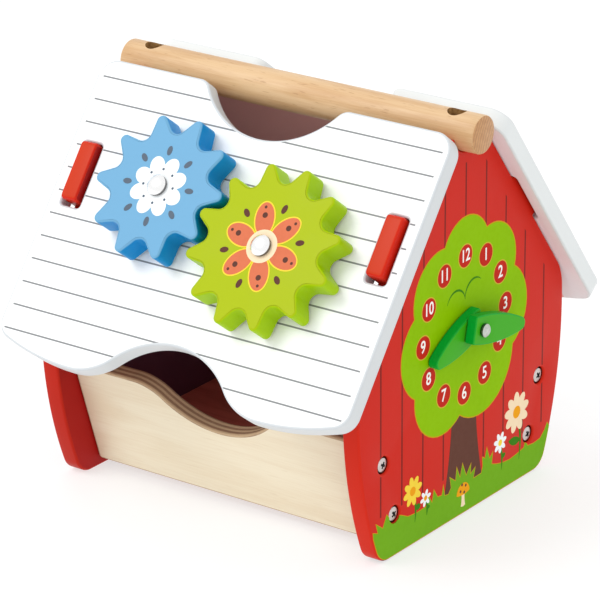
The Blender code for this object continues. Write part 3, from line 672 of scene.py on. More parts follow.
def white_roof(name, where, side, rim):
    """Face, edge and underside of one roof panel."""
    face = painted(name + "_face", WHITE, rim, where, 0.0, slats, colour(132, 134, 136))
    # painted shade: the edge and rim paints given are grey whites, darker than the face, for the shade on
    # the panel's sides
    edge = painted(name + "_edge", side, rim, where)
    # painted shade and painted red reflection: the underside is pink-brown between the gables
    underside = painted(name + "_underside", colour(238, 238, 241), rim, where, 0.0, between_gables,
                        colour(240, 192, 186))
    return [face, edge, underside]


print("the gables' red, to a shader:", [round(channel, 3) for channel in RED[:3]])

# %% [markdown]
# The leaning walls and the floor are bare plywood: pale birch on the faces of the walls and its layers
# on the cut edges. The floor's faces are a darker red-brown, painted shade with painted red reflection.

# %% Plywood
PLY_LAYER = 0.0015
LONG_GRAIN, END_GRAIN = colour(196, 168, 132), colour(146, 114, 88)


def plywood(name, where, thickness_start, light=colour(235, 223, 196), dark=colour(227, 211, 181)):
    """Face and cut edge of a plywood board."""
    face, tree, shader = material(name + "_face")
    grain = group(tree, grain_tree, {"Vector": board_vector(tree, where), "Light": light, "Dark": dark,
                                     "Band Size": 0.016, "Stretch": 7.0, "Pores": 0.12})
    fill(tree, shader, {"Base Color": grain["Color"], "Roughness": grain["Roughness"],
                        "Normal": bump(tree, grain["Height"], WOOD_RELIEF)})
    edge, tree, shader = material(name + "_edge")
    vector = board_vector(tree, where)
    depth = minus(tree, parts(tree, vector)[2], thickness_start)
    layers = group(tree, layers_tree, {"Vector": vector, "Depth": depth, "Layer": PLY_LAYER,
                                       "Long Grain": LONG_GRAIN, "End Grain": END_GRAIN})
    fill(tree, shader, {"Base Color": layers["Color"], "Roughness": 0.6,
                        "Normal": bump(tree, layers["Height"], 2 * WOOD_RELIEF)})
    return [face, edge, face]


print("a wall is", round(WALL_THICKNESS / PLY_LAYER), "layers thick")

# %% [markdown]
# ## The gables
#
# A gable is one board whose outline does all the work: a bellied side, an eave, the seat of the roof,
# a tenon that pokes through the roof panel, and a saddle for the handle. Counterbores take the heads
# of the screws that hold the leaning walls.

# %% Gable outline
TENON_RISE = FIT_GAP + BOARD + 0.004
TENON_LOW, TENON_HIGH = 0.1042, 0.0717


def gable_outline():
    """Right half from the ground up, mirrored."""
    slope = Vector((math.cos(PITCH), -math.sin(PITCH)))
    square = Vector((math.sin(PITCH), math.cos(PITCH)))
    ridge = Vector((0, RIDGE_HEIGHT))
    foot, belly, side, eave_round = 0.012, 0.088, 0.220, 0.026
    side_x = 0.0935 - side
    foot_x = side_x + math.sqrt((side - foot) ** 2 - (belly - foot) ** 2)
    foot_turn = math.atan2(foot - belly, foot_x - side_x)
    eave_line = ridge - square * eave_round
    start = eave_line - Vector((side_x, belly))
    along = math.sqrt(start.dot(slope) ** 2 - start.length_squared + (side - eave_round) ** 2)
    eave = eave_line + slope * (along - start.dot(slope))
    eave_turn = math.atan2(eave.y - belly, eave.x - side_x)
    half = [(0, 0)] + arc(foot_x, foot, foot, -QUARTER, foot_turn)
    half += arc(side_x, belly, side, foot_turn, eave_turn, LONG_STEPS)[1:-1]
    half += arc(eave.x, eave.y, eave_round, eave_turn, QUARTER - PITCH)
    low, high = ridge + slope * TENON_LOW, ridge + slope * TENON_HIGH
    rise = square * TENON_RISE
    half += [tuple(low), *rounded_corner(low, low + rise, high + rise, 0.0022),
             *rounded_corner(low + rise, high + rise, high, 0.0022), tuple(high)]
    top = HANDLE_HEIGHT - HANDLE_RADIUS + 0.0080
    horn = ((RIDGE_HEIGHT - top) / math.tan(PITCH), top)
    saddle = HANDLE_RADIUS + FIT_GAP
    half += rounded_corner(high, horn, (0, top), 0.002)
    half += arc(0, HANDLE_HEIGHT, saddle, math.asin((top - HANDLE_HEIGHT) / saddle), -QUARTER, LONG_STEPS)
    return mirrored(half)


def wall_screw_places():
    """Where a gable takes its four wall screws, across and up."""
    ups = (0.0243, 0.0561)
    lean = [(WALL_FOOT_Y + up * math.sin(WALL_LEAN), up * math.cos(WALL_LEAN)) for up in ups]
    return [(side * across, up) for across, up in lean for side in (-1, 1)]


print("gable outline:", len(gable_outline()), "points")

# %% Make the gables
SCREW_POCKET, SCREW_POCKET_DEPTH = 0.0047, 0.0031
screw_pockets = [(hole(x, y, SCREW_POCKET), SCREW_POCKET_DEPTH) for x, y in wall_screw_places()]


def gable(holes=()):
    """A gable's board; the flat tops of its tenons get slot 4, a lighter paint that is a painted highlight.
    """
    piece = board(gable_outline(), holes, pockets=screw_pockets)
    for face in piece.faces:
        middle = face.calc_center_median()
        above_ridge = middle.y + abs(middle.x) * math.tan(PITCH) - RIDGE_HEIGHT
        if face.material_index == 1 and above_ridge * math.cos(PITCH) > TENON_RISE - 0.0002:
            face.material_index = 4
    return piece


# painted shade on the edges: dark brown at the right gable's foot, a darker red low on the left gable
finished("painted_right_gable", gable([hole(0, CLOCK_HEIGHT, PIN_HOLE)]),
         red_gable("right_gable", RIGHT_GABLE, painted_foot_shade, colour(84, 46, 28)), "house",
         ["right_gable"], RIGHT_GABLE)
finished("painted_left_gable", gable(),
         red_gable("left_gable", LEFT_GABLE, painted_low_shade, colour(180, 38, 23)), "house",
         ["left_gable"], LEFT_GABLE)

# %% [markdown]
# ## The leaning walls and the floor
#
# Each wall is a plywood strip with a round dip that leaves room for small hands. It leans outwards, so
# its drawing board leans too. The floor is wedged between the walls, and its long edges are bevelled.

# %% Make the walls and the floor
def wall_outline():
    """A strip with a dip in its upper edge."""
    end, low, high = INNER_HALF - FIT_GAP, 0.0062, 0.0704
    half = [(0, low), *rounded_corner((0, low), (end, low), (end, high), 0.002),
            *rounded_corner((end, low), (end, high), (0, high), 0.002)]
    return mirrored(half + [(x, high - 0.0198 + y) for x, y in reversed(swale(0.050, 0.027, 0.0198))])


for side, where in (("front", FRONT_WALL), ("back", BACK_WALL)):
    strip = board(wall_outline(), thickness=WALL_THICKNESS)
    strip.transform(Matrix.Translation((0, 0, -WALL_THICKNESS / 2)))
    finished(f"plywood_{side}_wall", strip, plywood(side + "_wall", where, -WALL_THICKNESS / 2), "house",
             [side + "_wall"], where)

floor_low, floor_high = 0.008, 0.016
reaches = [WALL_FOOT_Y + z * math.tan(WALL_LEAN) - (WALL_THICKNESS / 2 + FIT_GAP) / math.cos(WALL_LEAN)
           for z in (floor_low, floor_high)]
section = [(-reaches[0], floor_low), (reaches[0], floor_low), (reaches[1], floor_high),
           (-reaches[1], floor_high)]
floor_length = 2 * (INNER_HALF - FIT_GAP)
FLOOR = place((-floor_length / 2, 0, 0), (QUARTER, 0, QUARTER))
# painted shade and painted red reflection: the floor's faces are dark red-brown instead of pale birch
floor_paint = plywood("floor", place((0, 0, floor_low), (0, 0, 0)), 0.0, colour(190, 102, 86),
                      colour(166, 82, 70))
finished("plywood_floor", board(section, thickness=floor_length, rim=0.0006),
         [floor_paint[1], floor_paint[0], floor_paint[1]], "house", ["floor_board"], FLOOR)

# %% [markdown]
# ## The roof panels
#
# A panel is a broad board with a finger cut-out at the top, a door arch at the bottom and two slots
# that drop over the gables' tenons. The front one also has a pin hole for each gear.

# %% Make the roof panels
ROOF_LENGTH = 0.2216


def roof_outline():
    """Right half from the arch's crown to the finger cut-out, mirrored."""
    end, top_down, foot_down = ROOF_LENGTH / 2, 0.0248, 0.189
    arch_depth, finger_depth, skirt, foot, shoulder = 0.0256, 0.0242, 0.140, 0.010, 0.011
    arch = [(x, arch_depth - foot_down - y) for x, y in swale(0.048, 0.033, arch_depth)]
    lobe_x, foot_x = arch[-1][0], end - foot
    skirt_y = skirt - foot_down
    foot_y = skirt_y - math.sqrt((skirt - foot) ** 2 - (foot_x - lobe_x) ** 2)
    foot_turn = math.atan2(foot_y - skirt_y, foot_x - lobe_x)
    half = arch + arc(lobe_x, skirt_y, skirt, -QUARTER, foot_turn)[1:-1]
    half += arc(foot_x, foot_y, foot, foot_turn, 0)
    half += arc(end - shoulder, -top_down - shoulder, shoulder, 0, QUARTER)
    fingers = swale(0.050, 0.008, finger_depth)
    return mirrored(half + [(x, y - finger_depth - top_down) for x, y in reversed(fingers)])


def tenon_slot(side):
    """A slot with play below its tenon."""
    middle, half = side * GABLE_MIDDLE_X, BOARD / 2 + 0.0012
    top, low = -0.0711, -0.1070
    return rounded_polygon([(middle - half, low), (middle - half, top), (middle + half, top),
                            (middle + half, low)], 0.002)


tenon_slots = [tenon_slot(-1), tenon_slot(1)]
pin_holes = [hole(*centre, PIN_HOLE) for centre in (GREEN_CENTRE, BLUE_CENTRE)]
LIFTED = Matrix.Translation((0, 0, FIT_GAP))
# painted shade: each panel's edges and rims get a grey white, the front panel's darker than the back
# panel's
finished("painted_front_roof", board(roof_outline(), tenon_slots + pin_holes),
         white_roof("front_roof", FRONT_ROOF, colour(213, 217, 219), colour(205, 210, 214)), "front_roof",
         ["front_roof_panel"], FRONT_ROOF @ LIFTED)
finished("painted_back_roof", board(roof_outline(), tenon_slots),
         white_roof("back_roof", BACK_ROOF, colour(227, 231, 231), colour(214, 218, 219)),
         "back_roof", ["back_roof_panel"], BACK_ROOF @ LIFTED)

# %% [markdown]
# ## The carrying handle
#
# The handle is a beech dowel with a small chamfer at both ends, counterbored over each gable for a
# long screw. A dowel is turned, so its mesh is a profile spun round its axis. The counterbores are
# taken out with a Boolean, as a drill would.

# %% Turning and drilling helpers
def turned(profile, sides=64):
    """A lathe piece about Z; profile points (radius, height) run down its outer side."""
    piece = bmesh.new()
    points = [piece.verts.new((radius, 0, height)) for radius, height in profile]
    lines = [piece.edges.new(pair) for pair in zip(points, points[1:])]
    bmesh.ops.spin(piece, geom=points + lines, cent=(0, 0, 0), axis=(0, 0, 1), angle=4 * QUARTER,
                   steps=sides, use_merge=True)
    bmesh.ops.remove_doubles(piece, verts=piece.verts, dist=0.000001)
    bmesh.ops.recalc_face_normals(piece, faces=piece.faces)
    for face in piece.faces:
        face.smooth = True
    return piece


def drilled(piece, cutters):
    """Take solids out of a bmesh and hand back the rest."""
    carriers = []
    for solid in [piece, *cutters]:
        mesh = bpy.data.meshes.new("carrier")
        solid.to_mesh(mesh)
        solid.free()
        carriers.append(new_object("carrier", mesh))
    for cutter in carriers[1:]:
        bore = carriers[0].modifiers.new("bore", "BOOLEAN")
        bore.operation, bore.solver, bore.object = "DIFFERENCE", "EXACT", cutter
    result = bmesh.new()
    result.from_mesh(plain_mesh(carriers[0]))
    for carrier in carriers:
        bpy.data.objects.remove(carrier)
    return result


trial = turned([(0, 0.01), (0.01, 0.01), (0.01, 0), (0, 0)])
print("a trial disc off the lathe has", len(trial.faces), "faces")
trial.free()

# %% [markdown]
# Beech shows fine lines and flecks along the dowel. Across it, at both ends, the same growth rings are
# nearly straight arcs, because the dowel is a small piece of a thick trunk.

# %% Beech
RING_SPACING = 0.0021
PITH = (0.042, -0.019)


def growth_rings(tree, vector):
    """Arcs about the trunk's middle, which lies well outside the dowel."""
    pith = xyz(tree, 0.0, *PITH)
    flat = add(tree, "ShaderNodeVectorMath", {0: vector, 1: (0, 1, 1)}, operation="MULTIPLY").outputs[0]
    reach = add(tree, "ShaderNodeVectorMath", {0: flat, 1: pith}, operation="DISTANCE").outputs["Value"]
    wander = times(tree, noise(tree, vector, 220.0), 0.0013)
    wave = maths(tree, "SINE", times(tree, plus(tree, reach, wander), 4 * QUARTER / RING_SPACING))
    return ramp(tree, wave, -0.6, 1.0, 0.0, 0.5)


def beech(name, along_x, light, dark, band_size, stretch, pores, ring_colour=None):
    """Clear-coated beech."""
    made, tree, shader = material(name)
    vector = board_vector(tree, along_x)
    grain = group(tree, grain_tree, {"Vector": vector, "Light": light, "Dark": dark, "Band Size": band_size,
                                     "Stretch": stretch, "Pores": pores})
    seen = grain["Color"]
    if ring_colour:
        seen = blend_colours(tree, growth_rings(tree, vector), seen, ring_colour)
    fill(tree, shader, {"Base Color": seen, "Roughness": grain["Roughness"], "Coat Weight": 0.3,
                        "Coat Roughness": 0.3, "Normal": bump(tree, grain["Height"], WOOD_RELIEF)})
    return made


print("growth rings stand", 1000 * RING_SPACING, "mm apart")

# %% Make the handle
HANDLE_CHAMFER = 0.0011
HANDLE_BORE_RADIUS, HANDLE_BORE_DEPTH = 0.005, 0.009
HANDLE_SCREW_INSET = 0.0058
HANDLE_CUTS = 24
half_length = HANDLE_LENGTH / 2
bore_bottom = HANDLE_RADIUS - HANDLE_BORE_DEPTH
chamfer = [(HANDLE_RADIUS - HANDLE_CHAMFER, half_length), (HANDLE_RADIUS - 0.3 * HANDLE_CHAMFER,
           half_length - 0.3 * HANDLE_CHAMFER), (HANDLE_RADIUS, half_length - HANDLE_CHAMFER)]
cuts = [(HANDLE_RADIUS, half_length * (1 - 2 * i / HANDLE_CUTS)) for i in range(1, HANDLE_CUTS)]
profile = [(0, half_length), *chamfer, *cuts, *((r, -h) for r, h in reversed(chamfer)), (0, -half_length)]
dowel = turned(profile, 96)
dowel.transform(Matrix.Rotation(QUARTER, 4, "Y"))
drills = []
for end in (-1, 1):
    drill = turned([(0, 0.012), (HANDLE_BORE_RADIUS, 0.012), (HANDLE_BORE_RADIUS, bore_bottom),
                    (0, bore_bottom)], 48)
    drill.transform(Matrix.Translation((end * (HOUSE_LENGTH / 2 - HANDLE_SCREW_INSET), 0, 0)))
    drills.append(drill)
dowel = drilled(dowel, drills)
for face in dowel.faces:
    middle = face.calc_center_median()
    from_end = half_length - abs(middle.x)
    if math.hypot(middle.y, middle.z) < 0.99 * HANDLE_RADIUS and from_end > HANDLE_CHAMFER:
        face.material_index = 2
    elif from_end < HANDLE_CHAMFER / 4:
        face.material_index = 1
HANDLE = place((0, 0, HANDLE_HEIGHT), (0, 0, 0))
beech_paints = [
    beech("beech_side", HANDLE, colour(218, 182, 137), colour(199, 156, 108), 0.007, 10.0, 0.6),
    beech("beech_end", HANDLE, colour(203, 151, 99), colour(186, 133, 83), 0.003, 1.2, 0.2,
          colour(152, 104, 60)),
    # painted shade: the counterbores' walls and floors get a darker beech, standing for the shade inside
    # them
    beech("beech_bore", HANDLE, colour(178, 138, 86), colour(132, 92, 46), 0.002, 1.0, 0.3),
]
finished("beech_handle", dowel, beech_paints, "house", ["carry_handle"], HANDLE)

# %% [markdown]
# ## The gears
#
# A gear is a shape with a rule, so Geometry Nodes can draw it: a star with as many points as teeth,
# fillets that round its tips and roots, a bore, a swept rim, and faces above and below. The tree has
# an input for each size, and both gears come out of it. The value rim is stored as on the boards.

# %% Geometry Nodes helpers
def new_tree(name, inputs):
    """An empty geometry tree with named inputs, its input sockets and a function that ends it."""
    tree = bpy.data.node_groups.new(name, "GeometryNodeTree")
    tree.interface.new_socket("Geometry", in_out="OUTPUT", socket_type="NodeSocketGeometry")
    for label, kind in [("Geometry", "Geometry"), *inputs]:
        tree.interface.new_socket(label, in_out="INPUT", socket_type="NodeSocket" + kind)
    ask = tree.nodes.new("NodeGroupInput").outputs

    def close(geometry, paint, other_paint=None, where_other=None):
        last = add(tree, "GeometryNodeRealizeInstances", {0: geometry}).outputs[0]
        last = add(tree, "GeometryNodeSetMaterial", {0: last, "Material": paint}).outputs[0]
        if other_paint:
            sockets = {0: last, "Selection": where_other, "Material": other_paint}
            last = add(tree, "GeometryNodeSetMaterial", sockets).outputs[0]
        tree.links.new(last, tree.nodes.new("NodeGroupOutput").inputs[0])
        print(f"{name}: {len(tree.nodes)} nodes")

    return tree, ask, close


def grown(tree, values, seedling=None):
    """Run a tree on a mesh and hand back the plain mesh that it makes."""
    carrier = new_object("carrier", seedling or bpy.data.meshes.new("carrier"))
    modifier = carrier.modifiers.new("nodes", "NODES")
    modifier.node_group = tree
    for item in tree.interface.items_tree:
        if item.in_out == "INPUT" and item.name in values:
            modifier[item.identifier] = values[item.name]
    mesh = plain_mesh(carrier)
    bpy.data.objects.remove(carrier)
    return mesh


def joined(tree, *parts):
    """Several geometries in one; the first given comes first."""
    join = tree.nodes.new("GeometryNodeJoinGeometry")
    for part in reversed(parts):
        tree.links.new(part, join.inputs[0])
    return join.outputs[0]


print("Geometry Nodes helpers:", ", ".join(each.__name__ for each in (new_tree, grown, joined)))

# %% The gear tree
gear_tree, ask, close = new_tree("Gear wheel", [
    ("Teeth", "Int"), ("Point Radius", "Float"), ("Valley Radius", "Float"), ("Tip Round", "Float"),
    ("Root Round", "Float"), ("Bore Radius", "Float"), ("Thickness", "Float"), ("Rim", "Float"),
    ("Face Paint", "Material"), ("Side Paint", "Material"),
])
star = add(gear_tree, "GeometryNodeCurveStar", {
    "Points": ask["Teeth"], "Inner Radius": ask["Valley Radius"], "Outer Radius": ask["Point Radius"],
    "Twist": 0.0})
round_by = add(gear_tree, "GeometryNodeSwitch", {"Switch": star.outputs["Outer Points"],
                                                 "False": ask["Root Round"], "True": ask["Tip Round"]},
               input_type="FLOAT")
teeth = add(gear_tree, "GeometryNodeFilletCurve", {"Curve": star.outputs[0], "Count": 9,
                                                   "Radius": round_by.outputs[0]}, mode="POLY")
bore = add(gear_tree, "GeometryNodeCurvePrimitiveCircle", {"Resolution": 48, "Radius": ask["Bore Radius"]})
bore_back = add(gear_tree, "GeometryNodeReverseCurve", {0: bore.outputs[0]})
outlines = add(gear_tree, "GeometryNodeSetCurveNormal",
               {"Curve": joined(gear_tree, teeth.outputs[0], bore_back.outputs[0])}, mode="Z_UP").outputs[0]
print("gear outlines:", len(gear_tree.nodes), "nodes")

# %% [markdown]
# The rim profile is a line of four points with its two middle corners filleted. Sweeping it along the
# outlines makes the walls and both rounded rims at once. The faces are the same outlines, moved in by
# the rim and filled. Whatever looks more sideways than up or down then gets the paint of the sides.

# %% Sweep and fill
minus_rim = times(gear_tree, ask["Rim"], -1.0)
minus_thick = times(gear_tree, ask["Thickness"], -1.0)
index = gear_tree.nodes.new("GeometryNodeInputIndex").outputs[0]
corner = add(gear_tree, "GeometryNodeIndexSwitch", {0: index}, data_type="VECTOR")
for _ in range(2):
    corner.index_switch_items.new()
for i, (x, y) in enumerate(((minus_rim, 0.0), (0.0, 0.0), (0.0, minus_thick), (minus_rim, minus_thick))):
    gear_tree.links.new(xyz(gear_tree, x, y), corner.inputs[i + 1])
dots = add(gear_tree, "GeometryNodePoints", {"Count": 4, "Position": corner.outputs[0]})
line = add(gear_tree, "GeometryNodePointsToCurves", {0: dots.outputs[0]})
rim_line = add(gear_tree, "GeometryNodeFilletCurve", {"Curve": line.outputs[0], "Count": RIM_STEPS - 1,
                                                      "Radius": ask["Rim"]}, mode="POLY")
walls = add(gear_tree, "GeometryNodeCurveToMesh", {"Curve": outlines, "Profile Curve": rim_line.outputs[0]})
normal = gear_tree.nodes.new("GeometryNodeInputNormal").outputs[0]
inward = add(gear_tree, "ShaderNodeVectorMath", {0: normal, "Scale": minus_rim}, operation="SCALE")
drawn_in = add(gear_tree, "GeometryNodeSetPosition", {0: outlines, "Offset": inward.outputs[0]})
under = add(gear_tree, "GeometryNodeFillCurve", {0: drawn_in.outputs[0]}, mode="TRIANGLES")
over = add(gear_tree, "GeometryNodeTransform", {0: under.outputs[0],
                                                "Translation": xyz(gear_tree, z=ask["Thickness"])})
under = add(gear_tree, "GeometryNodeFlipFaces", {0: under.outputs[0]})
faces = add(gear_tree, "GeometryNodeSetShadeSmooth",
            {0: joined(gear_tree, under.outputs[0], over.outputs[0]), "Shade Smooth": False})
whole = joined(gear_tree, walls.outputs[0], faces.outputs[0])
wheel = add(gear_tree, "GeometryNodeMergeByDistance", {0: whole, "Distance": 0.00001}).outputs[0]
height = parts(gear_tree, gear_tree.nodes.new("GeometryNodeInputPosition").outputs[0])[2]
depth = maths(gear_tree, "MINIMUM", height, minus(gear_tree, ask["Thickness"], height))
share = divided(gear_tree, depth, ask["Rim"], clamp=True)
hump = maths(gear_tree, "SINE", times(gear_tree, share, 2 * QUARTER))
wheel = add(gear_tree, "GeometryNodeStoreNamedAttribute", {0: wheel, "Name": "rim", "Value": hump})
flatness = parts(gear_tree, normal)[2]
is_side = maths(gear_tree, "LESS_THAN", maths(gear_tree, "ABSOLUTE", flatness), 0.6)
close(wheel.outputs[0], ask["Face Paint"], ask["Side Paint"], is_side)

# %% [markdown]
# The flanks of a tooth touch a round tip and a round valley. Where they would meet without the rounding
# gives the star's two radii. Both gears share the pitch, so the sizes follow from the tooth numbers.

# %% Gear sizes and paint
TIP_ROUND, ROOT_ROUND, ROOT_ROOM = 0.003, 0.005, 0.0022
GEAR_THICKNESS, GEAR_RIM, SPACER = 0.0142, 0.001, 0.0014
BLUE_TEETH, GREEN_TEETH = 10, 12
GEAR_BASE = BOARD + FIT_GAP + 2 * FIT_GAP + SPACER
pitch_share = GEAR_CENTRES / (BLUE_TEETH + GREEN_TEETH)
blue_tip = pitch_share * BLUE_TEETH + 0.005
green_tip = pitch_share * GREEN_TEETH + 0.0031


def star_radii(teeth, tip, root):
    """Where the flanks would meet outside the tips and inside the roots."""
    half_pitch = 2 * QUARTER / teeth
    tip_x, root_reach = tip - TIP_ROUND, root + ROOT_ROUND
    span = Vector((root_reach * math.cos(half_pitch) - tip_x, root_reach * math.sin(half_pitch)))
    lean = math.atan2(span.y, span.x) - math.acos((TIP_ROUND + ROOT_ROUND) / span.length)
    return tip_x + TIP_ROUND / math.cos(lean), root_reach - ROOT_ROUND / math.cos(lean - half_pitch)


def make_gear(name, teeth, tip, other_tip, centre, turn, face, side, rim):
    """Grow one gear and carry it to its pin; its roots leave room for the other gear's tips."""
    where = FRONT_ROOF @ Matrix.Translation((*centre, GEAR_BASE)) @ Matrix.Rotation(turn, 4, "Z")
    point, valley = star_radii(teeth, tip, GEAR_CENTRES - other_tip - ROOT_ROOM)
    mesh = grown(gear_tree, {
        "Teeth": teeth, "Point Radius": point, "Valley Radius": valley, "Tip Round": TIP_ROUND,
        "Root Round": ROOT_ROUND, "Bore Radius": GEAR_BORE, "Thickness": GEAR_THICKNESS,
        "Rim": GEAR_RIM, "Face Paint": painted(name + "_face", face, rim, where),
        "Side Paint": painted(name + "_side", side, rim, where)})
    mesh.transform(where)
    settle(name + "_wheel", mesh, name + "_wheel", [name])
    return where


blue_turn = GEAR_LINE - math.radians(0.12 + 1.4) + 2 * QUARTER / BLUE_TEETH
green_turn = GEAR_LINE + math.radians(0.1) + 2 * QUARTER
BLUE_GEAR = make_gear("blue_gear", BLUE_TEETH, blue_tip, green_tip, BLUE_CENTRE, blue_turn,
                      colour(112, 166, 203), colour(8, 132, 196), colour(108, 168, 206))
GREEN_GEAR = make_gear("green_gear", GREEN_TEETH, green_tip, blue_tip, GREEN_CENTRE, green_turn,
                       colour(165, 182, 18), colour(158, 196, 2), colour(160, 196, 10))

# %% [markdown]
# ## The clock's hands
#
# The hands are small leaf-shaped boards, one above the other on one pin.

# %% Make the hands
HAND_THICKNESS, HAND_RIM = 0.0055, 0.0007


def hand_outline(length):
    """Blunt tail, bellied side and round tip, pointing along +Y."""
    half_width, belly, tail, tip = 0.008, 0.005, 0.008, 0.0035
    reach = length - tip - belly
    side = (reach ** 2 + half_width ** 2 - tip ** 2) / (2 * (half_width - tip))
    side_x = half_width - side
    tip_turn = math.atan2(reach, -side_x)
    flank = arc(side_x, belly, side, math.asin(-(tail + belly) / side), tip_turn, LONG_STEPS)
    half = [(0, -tail), *rounded_corner((0, -tail), flank[0], flank[3], 0.0015), *flank[4:-1]]
    return mirrored(half + arc(0, length - tip, tip, tip_turn, QUARTER))


for name, length, degrees, level in (("hour", 0.0348, 197.9, 1), ("minute", 0.0400, -13.0, 2)):
    lift = level * FIT_GAP + (level - 1) * HAND_THICKNESS
    turn = Matrix.Rotation(math.radians(degrees) - QUARTER, 4, "Z")
    where = CLOCK @ Matrix.Translation((0, 0, lift)) @ turn
    face = painted(name + "_hand_face", colour(64, 168, 28), colour(56, 164, 38), where, QUARTER)
    side = painted(name + "_hand_side", colour(6, 168, 56), colour(40, 166, 50), where, QUARTER)
    blade = board(hand_outline(length), [hole(0, 0, PIN_HOLE)], HAND_THICKNESS, HAND_RIM)
    finished(f"painted_{name}_hand", blade, [face, side, face], name + "_pointer",
             [name + "_hand"], where)

# %% [markdown]
# ## Pins, washers and nuts
#
# Each gear turns on a shoulder pin with a low polished dome, and so do the clock's hands. Behind the
# board the pin takes a washer and a lock nut, and a nylon ring keeps each gear off the paint. All of
# them are lathe work, so each is a profile spun round its axis.

# %% Metal and nylon
SCRATCH_GREY, SCRATCH_DEPTH = colour(120, 120, 124), 0.00003


def metal(name, tint, roughness, scratch_size, dullness=0.25, metallic=1.0):
    """Metal with fine scratches; dullness says how much grey they bring."""
    made, tree, shader = material(name)
    rub = noise(tree, squeezed(tree, object_vector(tree), 5.0), scratch_size, 4.0)
    tint_here = blend_colours(tree, ramp(tree, rub, 0.3, 0.7, 0.0, dullness), tint, SCRATCH_GREY)
    fill(tree, shader, {"Base Color": tint_here, "Metallic": metallic,
                        "Roughness": ramp(tree, rub, 0.3, 0.7, roughness, roughness + 0.12),
                        "Normal": bump(tree, rub, SCRATCH_DEPTH * dullness)})
    return made


def nylon():
    """Slightly waxy white plastic."""
    made, tree, shader = material("nylon")
    dust = noise(tree, object_vector(tree), 700.0)
    base = blend_colours(tree, ramp(tree, dust, 0.35, 0.7), colour(240, 240, 234), colour(226, 226, 218))
    fill(tree, shader, {"Base Color": base, "Roughness": ramp(tree, dust, 0.3, 0.7, 0.38, 0.5),
                        "Subsurface Weight": 0.1, "Subsurface Scale": 0.001})
    return made


bright_steel = metal("bright_steel", colour(252, 252, 252), 0.2, 900.0, 0.05)
# painted shade: the clock pin's steel is greyer than the gear pins' bright steel, as it sits on the less
# lit side of the house
grey_steel = metal("grey_steel", colour(206, 210, 202), 0.3, 900.0, 0.3)
# painted shade: a dark steel for the pin heads' side walls and shanks, for the dark crescent of shade on a
# head's side
pin_side_shade_steel = metal("pin_side_shade_steel", colour(120, 118, 118), 0.3, 1400.0)
# painted reflection: the zinc's faint pink cast stands for red paint reflected in the screw heads
zinc_steel = metal("zinc_steel", colour(214, 205, 201), 0.26, 1400.0)
white_nylon = nylon()
print("metals:", ", ".join(each.name for each in (bright_steel, grey_steel, pin_side_shade_steel, zinc_steel)))

# %% Shapes of the fixings
GEAR_HEAD, GEAR_HEAD_HEIGHT = 0.0055, 0.004
CLOCK_HEAD, CLOCK_HEAD_HEIGHT = 0.0035, 0.003
PIN_HEAD_RIM = 0.45
PIN_SHANK, PIN_SHOULDER = 0.0025, 0.004
WASHER_THICKNESS, NUT_THICKNESS = 0.0012, 0.0045
print(f"pin heads: {2000 * GEAR_HEAD:.0f} mm wide on the gears, {2000 * CLOCK_HEAD:.0f} mm on the clock")


def crown(radius, rise, base, steps=12):
    """Profile of a round cap, from its top down to its rim."""
    ball = (radius ** 2 + rise ** 2) / (2 * rise)
    swing = math.asin(min(radius / ball, 1))
    turns = [swing * i / steps for i in range(steps + 1)]
    return [(ball * math.sin(a), base + rise - ball * (1 - math.cos(a))) for a in turns]


def ring(outer, inner, low, high, bevel):
    """A washer with bevelled edges."""
    return turned([(outer - bevel, high), (outer, high - bevel), (outer, low + bevel), (outer - bevel, low),
                   (inner + bevel, low), (inner, low + bevel), (inner, high - bevel), (inner + bevel, high),
                   (outer - bevel, high)])


def through_pin(seat, head, head_height, shoulder, thickness):
    """Domed pin; z = 0 is the face of the board that it goes through."""
    tail = -thickness - 2 * FIT_GAP - WASHER_THICKNESS - NUT_THICKNESS - 0.0012
    soft = 0.0003
    rim = PIN_HEAD_RIM * head_height
    cap = crown(head, head_height - rim, seat + rim)
    under_head = [(head, seat + soft), (head - soft, seat), (shoulder, seat), (shoulder, FIT_GAP)]
    shank = [(PIN_SHANK, FIT_GAP), (PIN_SHANK, tail + soft), (PIN_SHANK - soft, tail), (0, tail)]
    pin = turned(cap + under_head + shank)
    # painted shade: the side wall below the dome, the underside and the shank take the second, darker steel
    for face in pin.faces:
        face.material_index = int(face.calc_center_median().z < seat + rim)
    return pin


def joined_pieces(pieces):
    """Several closed solids in one bmesh."""
    whole = bmesh.new()
    for piece in pieces:
        carrier = bpy.data.meshes.new("carrier")
        piece.to_mesh(carrier)
        piece.free()
        whole.from_mesh(carrier)
        bpy.data.meshes.remove(carrier)
    return whole


def lock_nut(top):
    """Six-sided nut with a collar on its far side."""
    collar = 0.0011
    hexagon = arc(0, 0, 0.0052, 0, 4 * QUARTER, 6)[:-1]
    nut = board(hexagon, [hole(0, 0, PIN_SHANK + FIT_GAP)], NUT_THICKNESS - collar, 0.0003)
    nut.transform(Matrix.Translation((0, 0, top - NUT_THICKNESS + collar)))
    lip = ring(0.0044, PIN_SHANK + FIT_GAP, top - NUT_THICKNESS, top - NUT_THICKNESS + 1.2 * collar, 0.0004)
    return joined_pieces([nut, lip])


def add_fixings(name, where, thickness, body):
    """Washer and nut behind the board that a pin goes through."""
    top = -thickness - FIT_GAP
    finished(name + "_washer", ring(0.007, PIN_SHANK + FIT_GAP, top - WASHER_THICKNESS, top, 0.0002),
             [zinc_steel], body, [name + "_pin_washer"], where)
    finished(name + "_nut", lock_nut(top - WASHER_THICKNESS - FIT_GAP), [zinc_steel] * 3, body,
             [name + "_lock_nut"], where)


